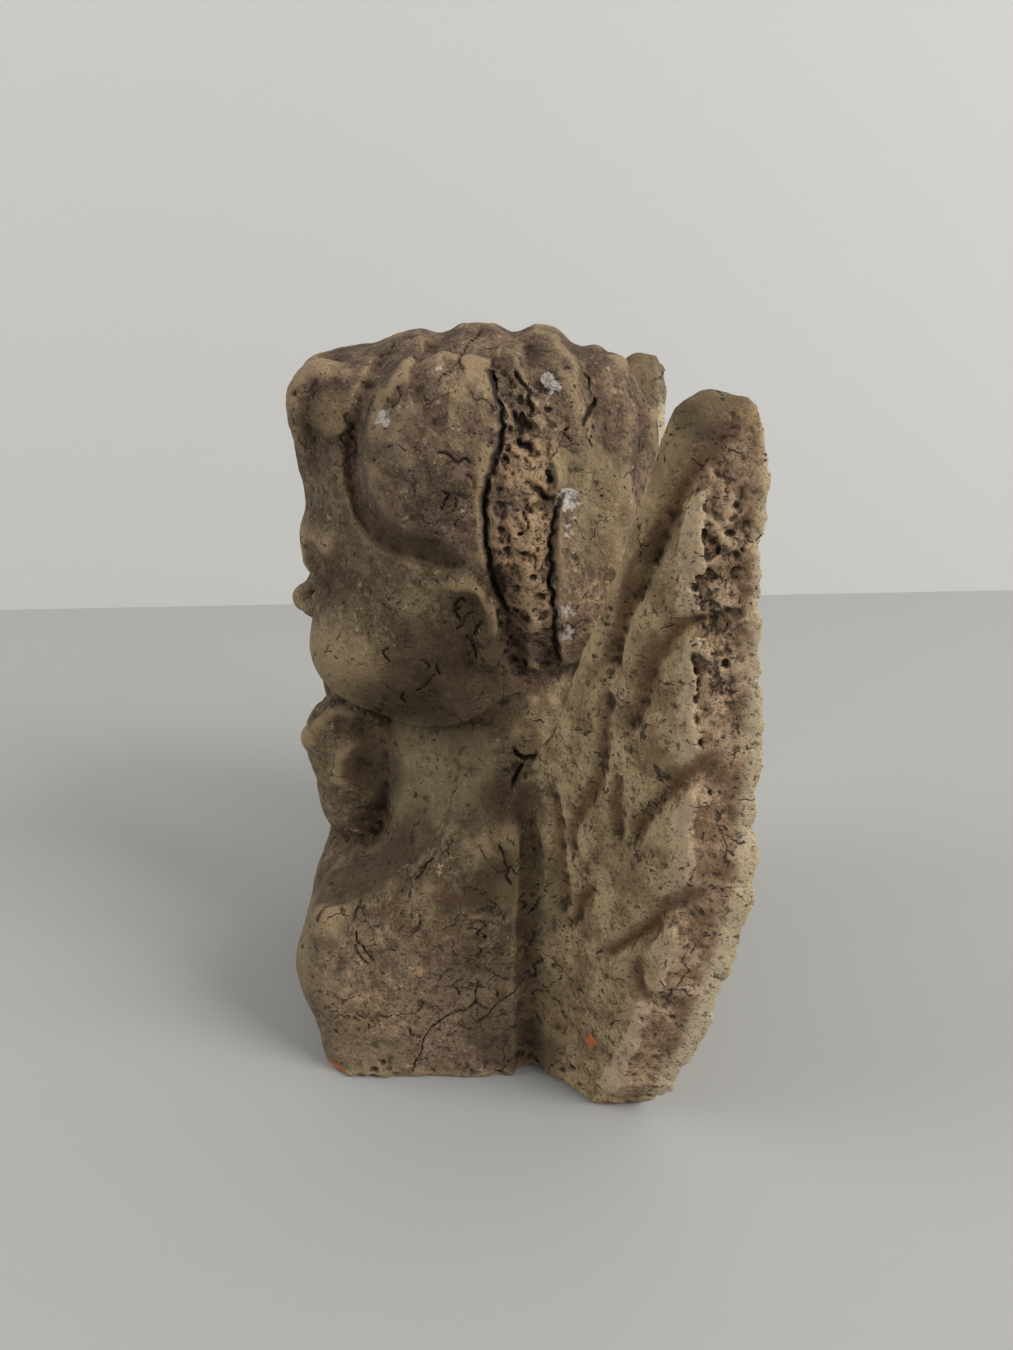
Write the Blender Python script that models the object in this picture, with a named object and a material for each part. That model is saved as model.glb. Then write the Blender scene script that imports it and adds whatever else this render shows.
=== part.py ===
"""Angel bust: a child's head and shoulders with two raised wings, cast in one piece of clay.

The figure looks along -Y and its left side is +X. It is built up as in clay: lumps and rolls
are pressed together, hollows are pressed in, and locks, feathers and creases are drawn on from
the side, the front, the top and the back. Every place is in parts, 200 to the height.
"""

import bmesh
import bpy
import numpy as np
import openvdb
from math import cos, radians, sin, tan

# Driving dimensions, in metres
HEIGHT = 0.200
WING_SPAN = 0.171
WING_THICKNESS = 0.0095
BASE_EDGE_ROUNDING = 0.003

# The figure is drawn in parts of its height
PART = HEIGHT / 200

# How many triangles are kept
TRIANGLES = 9700

# The edges of a wing's feathers, seen from the front: distance from the middle, and height
LONG_FEATHERS = [
    [(84.5, 183), (78, 169), (75, 161), (70.6, 152), (68, 141), (65, 131), (65, 124)],
    [(87, 146), (79.6, 141.6), (76, 135.6), (73, 128.6), (70.5, 120), (68, 111)],
    [(88, 119), (80.5, 108), (76, 100), (71, 90), (68.4, 82.7)],
    [(87, 86), (80, 77), (76.6, 71), (72.4, 63), (68.6, 57), (65, 52), (61.8, 47)],
]
SHORT_FEATHERS = [
    [(72.4, 58.8), (73.8, 48.3), (73.4, 40.6)],
    [(49.8, 92), (52.6, 75.5), (53, 54)],
    [(65, 124), (63.2, 110), (62, 97), (56, 82), (55.5, 71.7)],
    [(66.4, 104.4), (66.5, 89.2), (66.5, 81.7)],
    [(62, 70), (57, 59), (55.3, 51.5)],
]

# Wings: where the leaf leaves the back, how far it is swept back, and how obliquely its end is cut
WING_ROOT = (44 * PART, 5 * PART)
WING_SWEEP = radians(43)
END_SLANT = 0.12


def smooth_least(a, b, blend):
    """The lesser of two distances, with the valley between them filled by a soft fillet."""
    share = np.clip(0.5 + 0.5 * (b - a) / blend, 0, 1)
    return b + (a - b) * share - blend * share * (1 - share)


def smooth_step(value):
    value = np.clip(value, 0, 1)
    return value * value * (3 - 2 * value)


def curve_through(points, pieces=6):
    """A smooth curve through the points, as closely spaced points."""
    points = np.asarray(points, float)
    before = 2 * points[0] - points[1]
    after = 2 * points[-1] - points[-2]
    p = np.vstack([before, points, after])
    t = np.linspace(0, 1, pieces, endpoint=False)[:, None]
    runs = [
        0.5 * (2 * b + (c - a) * t + (2 * a - 5 * b + 4 * c - d) * t**2 + (3 * b - a - 3 * c + d) * t**3)
        for a, b, c, d in zip(p, p[1:], p[2:], p[3:])
    ]
    return np.vstack(runs + [points[-1:]])


class Ball:
    """An egg-shaped lump, nodding forward by an angle in degrees."""

    def __init__(self, center, radii, nod=0):
        self.center = np.array(center, np.float32) * PART
        self.radii = np.array(radii, np.float32) * PART
        self.turn = cos(radians(nod)), sin(radians(nod))
        reach = self.radii if nod == 0 else self.radii.max()
        self.low = self.center - reach
        self.high = self.center + reach

    def distance(self, x, y, z):
        cosine, sine = self.turn
        x, y, z = x - self.center[0], y - self.center[1], z - self.center[2]
        y, z = cosine * y + sine * z, cosine * z - sine * y
        a, b, c = self.radii
        near = np.sqrt((x / a) ** 2 + (y / b) ** 2 + (z / c) ** 2)
        steep = np.sqrt((x / a**2) ** 2 + (y / b**2) ** 2 + (z / c**2) ** 2)
        return (near - 1) * np.maximum(near, 0.1) / np.maximum(steep, 1e-3)


class Block:
    """A box with rounded edges."""

    def __init__(self, center, half, rounding):
        self.center = np.array(center, np.float32) * PART
        self.half = np.array(half, np.float32) * PART
        self.rounding = rounding * PART
        self.low = self.center - self.half
        self.high = self.center + self.half

    def distance(self, x, y, z):
        over = [
            np.abs(value - middle) - half + self.rounding
            for value, middle, half in zip((x, y, z), self.center, self.half)
        ]
        outside = np.sqrt(sum(np.maximum(one, 0) ** 2 for one in over))
        inside = np.minimum(np.maximum(np.maximum(over[0], over[1]), over[2]), 0)
        return outside + inside - self.rounding


class Roll:
    """A round roll of clay along a curve, with a radius at each point."""

    def __init__(self, points, radii):
        radii = np.broadcast_to(radii, len(points))
        line = curve_through(np.column_stack([points, radii]), 12) * PART
        self.line = line.astype(np.float32)
        self.low = (self.line[:, :3] - self.line[:, 3:]).min(axis=0)
        self.high = (self.line[:, :3] + self.line[:, 3:]).max(axis=0)

    def distance(self, x, y, z):
        """Each short length of the roll is worked out only where it is near."""
        least = np.full((x.size, y.size, z.size), 0.1, np.float32)
        for (*start, thin), (*end, thick) in zip(self.line, self.line[1:]):
            start, end = np.array(start), np.array(end)
            reach = max(thin, thick) + 10 * PART
            low = np.minimum(start, end) - reach
            high = np.maximum(start, end) + reach
            near = tuple(
                slice(*np.searchsorted(axis.ravel(), ends)) for axis, ends in zip((x, y, z), zip(low, high))
            )
            x0, y0, z0 = x[near[0]] - start[0], y[:, near[1]] - start[1], z[:, :, near[2]] - start[2]
            run = end - start
            along = np.clip((x0 * run[0] + y0 * run[1] + z0 * run[2]) / (run @ run), 0, 1)
            away = (x0 - along * run[0]) ** 2 + (y0 - along * run[1]) ** 2 + (z0 - along * run[2]) ** 2
            here = np.sqrt(away) - (thin + (thick - thin) * along)
            least[near] = np.minimum(least[near], here)
        return least


class Wing:
    """A leaf on one side: its outline is drawn from the front, and the leaf is swept back."""

    def __init__(self, side, outline):
        self.side = side
        stretch = (WING_SPAN / 2 - WING_ROOT[0]) / (41.5 * PART)
        outline = np.array(outline, float) * PART
        outline[:, 0] = WING_ROOT[0] + (outline[:, 0] - WING_ROOT[0]) * stretch
        self.outline = outline
        across, height = outline[:, 0], outline[:, 1]
        back = WING_ROOT[1] + (across.max() - WING_ROOT[0]) * tan(WING_SWEEP) + 3 * WING_THICKNESS
        ends = sorted((side * across.min(), side * across.max()))
        self.low = np.array([ends[0], -10 * PART, height.min()])
        self.high = np.array([ends[1], back, height.max()])

    def distance(self, x, y, z):
        across = x * self.side
        within = outline_distance(across[:, 0, 0], z[0, 0, :], self.outline)[:, None, :]
        along = (across - WING_ROOT[0]) * cos(WING_SWEEP) + (y - WING_ROOT[1]) * sin(WING_SWEEP)
        behind = behind_wing(self.side, x, y)
        thick = WING_THICKNESS + 8 * PART * (1 - smooth_step(along / (40 * PART)))
        thick = thick + 2.5 * PART * (1 - smooth_step((z - 70 * PART) / (80 * PART)))
        thick = thick - 2 * PART * smooth_step((z - 178 * PART) / (10 * PART))
        outer = smooth_step((across - 62 * PART) / (14 * PART))
        within = within + END_SLANT * np.maximum(thick - behind, 0) * outer
        leaf = np.abs(behind - thick / 2) - thick / 2
        return -smooth_least(-within, -leaf, 1.2 * PART)


def behind_wing(side, x, y):
    """How far a point lies behind the front face of a wing."""
    return (y - WING_ROOT[1]) * cos(WING_SWEEP) - (x * side - WING_ROOT[0]) * sin(WING_SWEEP)


def outline_distance(across, up, outline):
    """The distance to a closed outline over a grid, below 0 inside it."""
    u, v = across[:, None], up[None, :]
    least = np.full((len(across), len(up)), np.inf)
    inside = np.zeros(least.shape, bool)
    for (u0, v0), (u1, v1) in zip(outline, np.roll(outline, -1, axis=0)):
        du, dv = u1 - u0, v1 - v0
        along = np.clip(((u - u0) * du + (v - v0) * dv) / (du * du + dv * dv), 0, 1)
        least = np.minimum(least, np.hypot(u - u0 - along * du, v - v0 - along * dv))
        if dv != 0:
            crosses = ((v0 > v) != (v1 > v)) & (u < u0 + du * (v - v0) / dv)
            inside ^= crosses
    return np.where(inside, -least, least).astype(np.float32)


class View:
    """A side that lines are drawn from. The clay takes them beyond a start, fading in over 6 parts."""

    def __init__(self, axis, side, start):
        self.axis = "xyz".index(axis)
        self.side = side
        self.start = start * PART

    def takes(self, *places):
        return smooth_step((self.side * places[self.axis] - self.start) / (6 * PART))


class WingFace:
    """One face of a wing, seen along Y and away from the root: face 1 is the front, -1 the back."""

    def __init__(self, side, face):
        self.axis = 1
        self.side = side
        self.face = face

    def takes(self, x, y, z):
        behind = behind_wing(self.side, x, y) / PART
        return smooth_step((self.side * x / PART - 44) / 6) * smooth_step(0.5 + self.face * (5 - behind) / 3)


LEFT = View("x", 1, 8)
RIGHT = View("x", -1, 8)
FRONT = View("y", -1, 14)
BACK = View("y", 1, 4)
TOP = View("z", 1, 150)


class Clay:
    """A grid that holds, at each point, how far the surface is: below 0 is inside the clay."""

    def __init__(self, low, high, step):
        self.step = step
        self.axes = [np.arange(a * PART, b * PART, step, dtype=np.float32) for a, b in zip(low, high)]
        self.field = np.full([len(axis) for axis in self.axes], 0.1, np.float32)

    def window(self, low, high):
        """The stretch of the grid between two corners, and the coordinates in it."""
        stretch = tuple(
            slice(*np.searchsorted(axis, (a, b))) for axis, a, b in zip(self.axes, low, high)
        )
        return stretch, np.ix_(*(axis[one] for axis, one in zip(self.axes, stretch)))

    def add(self, shape, blend):
        blend = blend * PART
        reach = blend + 8 * PART
        stretch, (x, y, z) = self.window(shape.low - reach, shape.high + reach)
        here = self.field[stretch]
        self.field[stretch] = smooth_least(here, shape.distance(x, y, z), blend)

    def cut(self, shape, blend):
        blend = blend * PART
        reach = blend + 2 * self.step
        stretch, (x, y, z) = self.window(shape.low - reach, shape.high + reach)
        here = self.field[stretch]
        self.field[stretch] = -smooth_least(-here, shape.distance(x, y, z), blend)

    def draw(self, view, points, width, depth, slope=None):
        """Draws a line on the surface: a depth below 0 raises a ridge.

        With a slope, the line's left side falls away over that width, like the edge of a lock
        of hair that lies on the next one.
        """
        first, second = [one for one in range(3) if one != view.axis]
        line = curve_through(points) * PART
        width, depth, slope = width * PART, depth * PART, (slope or width) * PART
        reach = max(width, slope)
        low, high = np.full(3, -1.0), np.full(3, 1.0)
        low[[first, second]] = line.min(axis=0) - reach
        high[[first, second]] = line.max(axis=0) + reach
        stretch, grids = self.window(low, high)
        profile = line_profile(grids[first], grids[second], line, width, slope)
        self.field[stretch] += (depth * profile * view.takes(*grids)).astype(np.float32)

    def lay(self, view, points, radii, blend, sunk):
        """Lays a roll on the surface along a line, with a share of its thickness sunk in."""
        first, second = [one for one in range(3) if one != view.axis]
        places = []
        for (a, b), radius in zip(points, radii):
            at = [slice(None)] * 3
            at[first] = np.searchsorted(self.axes[first], a * PART)
            at[second] = np.searchsorted(self.axes[second], b * PART)
            within = np.nonzero(self.field[tuple(at)] < 0)[0]
            surface = self.axes[view.axis][within[-1 if view.side > 0 else 0]] / PART
            place = np.zeros(3)
            place[[first, second]] = a, b
            place[view.axis] = surface - view.side * radius * (2 * sunk - 1)
            places.append(place)
        self.add(Roll(places, radii), blend)

    def flatten_base(self):
        """Trims the clay at the ground and rounds the edge."""
        z = self.axes[2]
        self.field[:] = -smooth_least(-self.field, z, BASE_EDGE_ROUNDING)


def line_profile(a, b, line, width, slope):
    """How deep a line is at each place, from 0 to 1: it narrows and fades towards both ends."""
    steps = np.hypot(*np.diff(line, axis=0).T)
    passed = np.concatenate([[0], np.cumsum(steps)])
    deepest = 0
    for (a0, b0), (a1, b1), before, length in zip(line, line[1:], passed, steps):
        da, db = a1 - a0, b1 - b0
        along = np.clip(((a - a0) * da + (b - b0) * db) / (length * length), 0, 1)
        away = np.sqrt((a - a0 - along * da) ** 2 + (b - b0 - along * db) ** 2)
        wide = width if slope == width else np.where((b - b0) * da > (a - a0) * db, slope, width)
        way = before + along * length
        fade = smooth_step(np.minimum(way, passed[-1] - way) / (3 * width))
        here = away / (wide * (0.5 + 0.5 * fade))
        deepest = np.maximum(deepest, np.clip(1 - here * here, 0, 1) ** 2 * fade)
    return deepest


def facing(view, line):
    """The line turned round on the right side, so that its slope falls on the same side of the lock."""
    return line[::-1] if view is RIGHT else line


def model_bust(clay):
    """The trunk, cut off at the base, and the shoulders, neck and throat."""
    clay.add(Block((0, -14.3, 22), (52.5, 41.3, 34), 12), 6)
    clay.add(Ball((0, -8, 58), (44, 30, 32)), 12)
    clay.add(Ball((0, 5, 58), (43, 23, 40)), 12)
    clay.add(Roll([(0, -1, 62), (0, -1, 112)], [28, 28]), 10)
    clay.add(Ball((0, -16, 84), (30, 23, 26)), 10)
    for side in (1, -1):
        clay.add(Ball((side * 32, 2, 67), (20, 20, 20)), 10)
        clay.add(Ball((side * 21, 6, 92), (17, 15, 24)), 8)
        clay.add(Ball((side * 22, -3, 104), (13, 16, 15)), 8)


def model_head(clay):
    clay.add(Ball((0, -6, 148), (38, 42, 46)), 8)
    clay.add(Ball((0, -19, 127), (36.5, 33, 33)), 10)
    clay.add(Ball((0, -25, 113), (25, 27, 20)), 10)
    clay.add(Ball((0, -22, 150), (33, 31, 26)), 10)


def model_hair(clay):
    """The mass of the hair: a roll over the forehead, curls at the sides and a full back."""
    clay.add(Ball((0, -4, 157.6), (41, 43, 41)), 5)
    clay.add(Ball((0, -12, 171.4), (35, 44, 27)), 8)
    clay.add(Ball((0, 11, 168), (31, 30, 29.5)), 8)
    over_forehead = [(-20, -37, 179), (-8, -39.5, 181), (8, -39.5, 181), (20, -37, 179)]
    clay.add(Roll(over_forehead, [10, 12.5, 12.5, 10]), 3)
    clay.add(Ball((0, -25, 179), (31, 22, 17.5)), 6)
    for side in (1, -1):
        clay.add(Ball((side * 28, -11, 170), (15, 23, 25)), 3)
        clay.add(Ball((side * 24, 9, 146), (18, 27, 36)), 5)


def model_arms(clay):
    """The left arm lies across the front, and the right forearm rises to the chin.

    A crest runs up each upper arm to the shoulder, with a hollow above it and a crease behind it.
    """
    for side in (1, -1):
        clay.add(Roll([(side * 34, 2, 65), (side * 34, -18, 48), (side * 32, -39, 27)], [20, 21, 23]), 5)
    clay.add(Roll([(-32, -40, 28), (-18, -44, 46), (-2, -46, 62)], [17, 14, 12]), 5)
    clay.add(Roll([(32, -40, 28), (8, -45, 38), (-18, -46, 43)], [20, 16, 13]), 4)
    crest = [
        (36, -42, 43), (38.5, -36, 49), (39, -29, 54.5), (39, -20.5, 61.5), (38.5, -13, 69),
        (37, -5, 76), (34, 3, 81),
    ]
    above_crest = [
        (42, -53, 57), (43, -46, 61), (43, -39, 66.5), (43.5, -30.5, 73), (44, -23, 80.5), (44, -15, 88.5),
    ]
    behind_arm = [(52, 5.5, 2), (52, 6.5, 44), (50, 8, 84)]
    for side in (1, -1):
        clay.add(Roll([(side * x, y, z) for x, y, z in crest], [6, 7, 7, 7, 7, 7, 6]), 4)
        clay.cut(Roll([(side * x, y, z) for x, y, z in above_crest], [4, 7, 8.5, 9, 8.5, 5]), 2)
        clay.cut(Roll([(side * x, y, z) for x, y, z in behind_arm], [4, 3.4, 3]), 2)


def model_wings(clay):
    outline = [
        (30, -12), (60, -12), (62, 0), (65.5, 6), (69.5, 13), (73, 25), (77.2, 40), (79.4, 53),
        (82.2, 66), (84, 75.5), (85, 84), (84.6, 96), (86, 115), (85, 128), (85.8, 143),
        (84.8, 148), (85, 165), (85.6, 177), (85, 183.5), (83, 187), (79.6, 187.8), (76.4, 185),
        (74.2, 178.5), (71.2, 168.5), (68, 155), (64.2, 143.3), (59.9, 130.6), (56.7, 119.4),
        (51.7, 105.6), (44, 90), (30, 84),
    ]
    for side in (1, -1):
        clay.add(Wing(side, outline), 4)


def model_face(clay):
    """A calm child's face of plain proportions, with the eyes a little below half the head's height."""
    for side in (1, -1):
        clay.add(Ball((side * 19, -38, 117.5), (14, 13, 12.5)), 12)
        model_eye(clay, side)
    bridge = [(0, -48, 146), (0, -50.6, 137), (0, -54, 130), (0, -56.8, 126.8)]
    clay.add(Roll(bridge, [3.4, 2.8, 3.3, 4.3]), 4)
    for side in (1, -1):
        clay.add(Ball((side * 4.3, -53.8, 125.2), (3.1, 3.9, 3)), 2)
        clay.cut(Ball((side * 2.3, -56.8, 122), (1.3, 2, 1.1)), 1.2)
    model_mouth(clay)
    clay.add(Ball((0, -45.5, 99.5), (11, 8.6, 7.5)), 5)


def model_jaw(clay):
    """The cheeks overhang the neck, which falls away below the jaw."""
    jaw = [(5, 110), (-0.4, 106), (-8.5, 100), (-18.5, 95.6), (-25, 94.8), (-34, 96), (-42, 97)]
    for view in (LEFT, RIGHT):
        clay.draw(view, facing(view, jaw), 2.4, 2, 9)


def model_eye(clay, side):
    clay.cut(Ball((side * 14.8, -57, 138.6), (10.5, 7.5, 7.5)), 6)
    clay.add(Ball((side * 14.3, -42.6, 136.8), (8.8, 8.5, 8.2)), 1.5)
    upper_lid = [
        (6.3, -48.2, 134.8), (9.3, -50.8, 139), (14.4, -52, 141.4), (20, -49.4, 139.4), (23.6, -45.4, 135.6),
    ]
    lower_lid = [
        (6.5, -48.2, 134.4), (10.4, -50, 131.8), (15, -50.5, 131), (20, -48, 132.4), (23.4, -45.2, 135),
    ]
    fold = [(7.6, -48.6, 140), (14.4, -51, 144.6), (23.6, -45.2, 140.2)]
    brow = [(6, -49.6, 146), (14, -50.4, 149), (25, -43.4, 147)]
    for line, radii, blend in (
        (upper_lid, [0.9, 1.2, 1.35, 1.2, 0.9], 0.9),
        (fold, [1.2, 2, 1.2], 3),
        (lower_lid, [0.8, 1.1, 1.2, 1.1, 0.8], 1.2),
        (brow, [1.4, 1.5, 1], 7),
    ):
        clay.add(Roll([(side * x, y, z) for x, y, z in line], radii), blend)


def model_mouth(clay):
    clay.add(Ball((0, -45.6, 111.5), (15, 9, 9.5)), 7)
    clay.draw(FRONT, [(0, 121.4), (0, 118.4), (0, 115.4)], 2.4, 0.6)
    bow = [
        (-9.8, -48.6, 112.4), (-5, -53.2, 114), (-1.7, -54.8, 114.6), (0, -54.8, 113.9),
        (1.7, -54.8, 114.6), (5, -53.2, 114), (9.8, -48.6, 112.4),
    ]
    clay.add(Roll(bow, [0.8, 1.7, 2.1, 2, 2.1, 1.7, 0.8]), 1)
    under = [
        (-8.6, -49.2, 111.2), (-4, -52.6, 108.8), (0, -53.6, 108.2), (4, -52.6, 108.8), (8.6, -49.2, 111.2),
    ]
    clay.add(Roll(under, [0.9, 2.2, 2.7, 2.2, 0.9]), 1)
    parting = [(-11.4, 113), (-8, 111.9), (-4, 111.4), (0, 110.9), (4, 111.4), (8, 111.9), (11.4, 113)]
    clay.draw(FRONT, parting, 1.2, 1.2)


def model_ears(clay):
    for side in (1, -1):
        rim = [(side * 38, -10, 140), (side * 40, -4, 138), (side * 39, -1, 130), (side * 36, -4, 120)]
        clay.add(Roll(rim, [2, 2.5, 2.2, 1.8]), 4.5)
        clay.cut(Ball((side * 42.4, -7, 132), (3.6, 2.8, 4.6)), 3)


def model_hands(clay):
    """The right hand is bent back and closed under the chin, and the left hand lies on the right arm."""
    clay.add(Ball((3, -45.5, 66), (14, 12.5, 18), 8), 4)
    clay.add(Ball((4, -43, 82), (15, 13, 13)), 4)
    for x, lift in ((-9, -1.5), (-2, 0.5), (5, 1), (11.5, -0.5)):
        clay.add(Roll([(x * 0.6, -49, 62), (x * 0.85, -53, 77), (x, -54.6, 88 + lift)], [3.6, 4.2, 5.2]), 4)
        finger = [
            (x, -54.4, 89 + lift), (x + 0.5, -49, 94 + lift), (x + 1, -40, 94.5 + lift),
            (x + 2, -33.5, 86), (x + 2, -34.5, 75), (x + 1, -41, 71),
        ]
        clay.add(Roll(finger, [5, 4.5, 4.5, 4.6, 4.2, 3.6]), 1.6)
    for side in (1, -1):
        clay.add(Ball((3 + side * 10.5, -44.5, 80), (7.5, 9.5, 13), 8), 5)
    clay.cut(Ball((23.5, -40, 82), (5, 5, 6)), 4)
    clay.add(Ball((-28, -50, 42), (13, 9, 12)), 4)
    for number in range(4):
        up = 33 + 6.6 * number
        finger = [(-19, -55, up + 1), (-29, -58.5, up + 0.5), (-38, -55, up - 0.5), (-43, -48, up - 1)]
        clay.add(Roll(finger, [3.4, 3.9, 3.8, 3.2]), 1.4)


def model_locks(clay):
    """Lines and edges part the hair into locks, which are combed back from the forehead."""
    for x, lean in ((-19, -2.5), (-11.5, -1.2), (-4, -0.3), (3.5, 0.3), (11, 1.2), (18.5, 2.5)):
        drop = (x / 20) ** 2
        lock = [
            (x * 0.9, 3 * drop - 42, 169), (x, 3 * drop - 48.6, 172), (x, 3 * drop - 50.6, 181),
            (x, 3 * drop - 46.8, 188), (x + lean, -37, 190.6 - 4 * drop),
            (x + 2 * lean, -22, 192.8 - 7 * drop),
        ]
        clay.add(Roll(lock, [2.5, 4.6, 5, 5.2, 5.2, 4]), 1.2)
    curl = [
        (-24, 197), (-27.5, 192), (-31, 186), (-34.4, 177), (-35.6, 170),
        (-35.4, 163), (-32.4, 154), (-26.5, 149), (-17.5, 146), (-8, 144),
    ]
    crack = [
        (-0.4, 192), (1.8, 183), (1.8, 174), (-0.6, 167), (-2.4, 159),
        (-2.1, 150), (-1, 141.8), (2.1, 132), (2, 123),
    ]
    behind_crown = [(6.8, 199), (9.4, 189), (13.4, 180.6), (17, 173.5), (18.2, 166.7), (17, 160), (15, 154)]
    over_ear = [
        (-8, 145), (-3.5, 142.5), (-1, 136), (2, 129), (1.8, 123), (4, 115), (9, 110.5), (16, 113), (21, 112),
    ]
    edges = [
        (curl, 2.4, 1.8, 7),
        ([(-12, 199), (-16.5, 194), (-17, 187), (-15, 181.5), (-11.5, 176.5)], 2.4, 1.7, 7),
        (behind_crown, 2.6, 2.3, 8),
        ([(24, 193), (22.6, 184), (25.4, 176), (25, 167), (22, 150), (24, 136)], 2.8, 1.5, 8),
        ([(32, 184), (31, 175), (34, 166), (32, 155), (33, 140)], 2.8, 1.4, 7),
        (crack, 1.4, 1.7, 9),
        ([(15, 116), (13.4, 126), (13.8, 140), (14.2, 154), (16, 163)], 1.6, 1.7, 7),
        (over_ear, 3, 1.6, 7),
    ]
    side_ridge = [(-17, 195), (-22, 189), (-27, 181), (-29, 172), (-27.5, 162), (-22, 155), (-13, 152)]
    for view in (LEFT, RIGHT):
        for line, width, depth, slope in edges:
            clay.draw(view, facing(view, line), width, depth, slope)
        clay.draw(view, side_ridge, 5, -0.9)
        clay.draw(view, [(-3, 199.5), (-7.3, 195), (-10, 189), (-12, 183)], 5, 1.3)
    for y, depth in ((-30, 0.8), (-13.5, 1.6), (6, 2), (22, 2)):
        clay.draw(TOP, [(-27, y + 3), (-12, y), (0, y - 1), (12, y), (27, y + 3)], 6, depth)
    for x in (-24, -12, 0, 12, 24):
        lock = [(x * 0.3, 188), (x * 0.75, 172), (x * 1.1, 156), (x, 140), (x * 1.15, 126), (x * 0.9, 115)]
        clay.lay(BACK, lock, [3.5, 6.5, 7.5, 7, 6, 3], 2, 0.86)
    for x in (-18, -6, 6, 18):
        lock = [(x * 0.5, 176), (x * 1.1, 158), (x * 0.9, 140), (x * 1.2, 124), (x * 1.05, 111)]
        clay.lay(BACK, lock, [3.5, 6.5, 6.5, 5.5, 2.5], 1.5, 0.84)


def model_feathers(clay):
    """Each feather swells, its edge lies on the next one, and a thick rim runs along the leading edge."""
    swells = [
        [(83, 162), (76, 148), (71, 132), (68, 116)],
        [(84, 130), (77, 116), (72, 103), (68, 90)],
        [(84, 100), (77, 87), (72, 75), (66, 60)],
        [(83, 70), (77, 58), (70, 45), (65, 34)],
    ]
    rim = [
        (44, 12, 91), (52, 19, 107.5), (60, 26.4, 131), (67.8, 33.8, 154.7), (74, 39.6, 176),
        (78.8, 44, 184.2),
    ]
    for side in (1, -1):
        front, back = WingFace(side, 1), WingFace(side, -1)
        for feather in LONG_FEATHERS:
            line = [(side * x, z) for x, z in feather]
            clay.draw(front, line[::side], 1.9, 2.6, 9)
            clay.draw(back, line[:0:-1] if side > 0 else line[1:], 3, 1.5, 6)
        for feather in SHORT_FEATHERS:
            line = [(side * x, z) for x, z in feather]
            clay.draw(front, line[::side], 1.7, 1.8, 6)
        for swell in swells:
            clay.draw(front, [(side * x, z) for x, z in swell], 9, -1.2)
        clay.add(Roll([(side * x, y, z) for x, y, z in rim], [5, 5.2, 4.9, 4.8, 4.9, 4]), 1.6)


def model_back(clay):
    """Shoulder blades on either side of the spine, plainer than the front."""
    for side in (1, -1):
        clay.add(Roll([(side * 12, 17, 74), (side * 21, 19, 64), (side * 24, 17, 46)], [8, 10, 8]), 8)
    clay.draw(BACK, [(0, 102), (0, 80), (0, 50), (0, 24)], 8, 1.4)


def skin(clay):
    """The surface of the clay as an object."""
    grid = openvdb.FloatGrid(1.0)
    grid.copyFromArray(np.clip(clay.field / clay.step, -4, 4))
    points, _, faces = grid.convertToPolygons(0.0, 0.0)
    points = points * clay.step + np.array([axis[0] for axis in clay.axes])
    order = np.lexsort(np.round(points, 7).T)
    rank = np.argsort(order)
    faces = sorted(sorted_ring(face) for face in rank[faces[:, ::-1]].tolist())
    mesh = bpy.data.meshes.new("angel_bust")
    mesh.from_pydata(points[order].tolist(), [], faces)
    mesh.materials.append(patinated_clay())
    obj = bpy.data.objects.new("angel_bust", mesh)
    bpy.context.scene.collection.objects.link(obj)
    return obj


def patinated_clay():
    material = bpy.data.materials.new("patinated_clay")
    material.use_nodes = True
    shader = material.node_tree.nodes["Principled BSDF"]
    shader.inputs["Base Color"].default_value = (0.23, 0.19, 0.13, 1)
    shader.inputs["Roughness"].default_value = 0.9
    shader.inputs["Metallic"].default_value = 0
    return material


def sorted_ring(face):
    """A face that starts at its first corner, in the same turn."""
    first = face.index(min(face))
    return face[first:] + face[:first]


def thin_out(obj):
    """Keeps about as many triangles as are wanted, most of them where the surface curves."""
    thinner = obj.modifiers.new("thinner", "DECIMATE")
    thinner.ratio = TRIANGLES / (2 * len(obj.data.polygons))
    thinner.use_collapse_triangulate = True
    graph = bpy.context.evaluated_depsgraph_get()
    mesh = bpy.data.meshes.new_from_object(obj.evaluated_get(graph))
    obj.modifiers.clear()
    obj.data = mesh


def drop_crumbs(shape):
    """Keeps the largest body, because a deep line can leave a crumb or a bubble beside it."""
    left = set(shape.verts)
    bodies = []
    while left:
        body = [left.pop()]
        for vertex in body:
            near = {edge.other_vert(vertex) for edge in vertex.link_edges} & left
            left -= near
            body += near
        bodies.append(body)
    bodies.sort(key=len)
    for body in bodies[:-1]:
        bmesh.ops.delete(shape, geom=body, context="VERTS")


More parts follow.
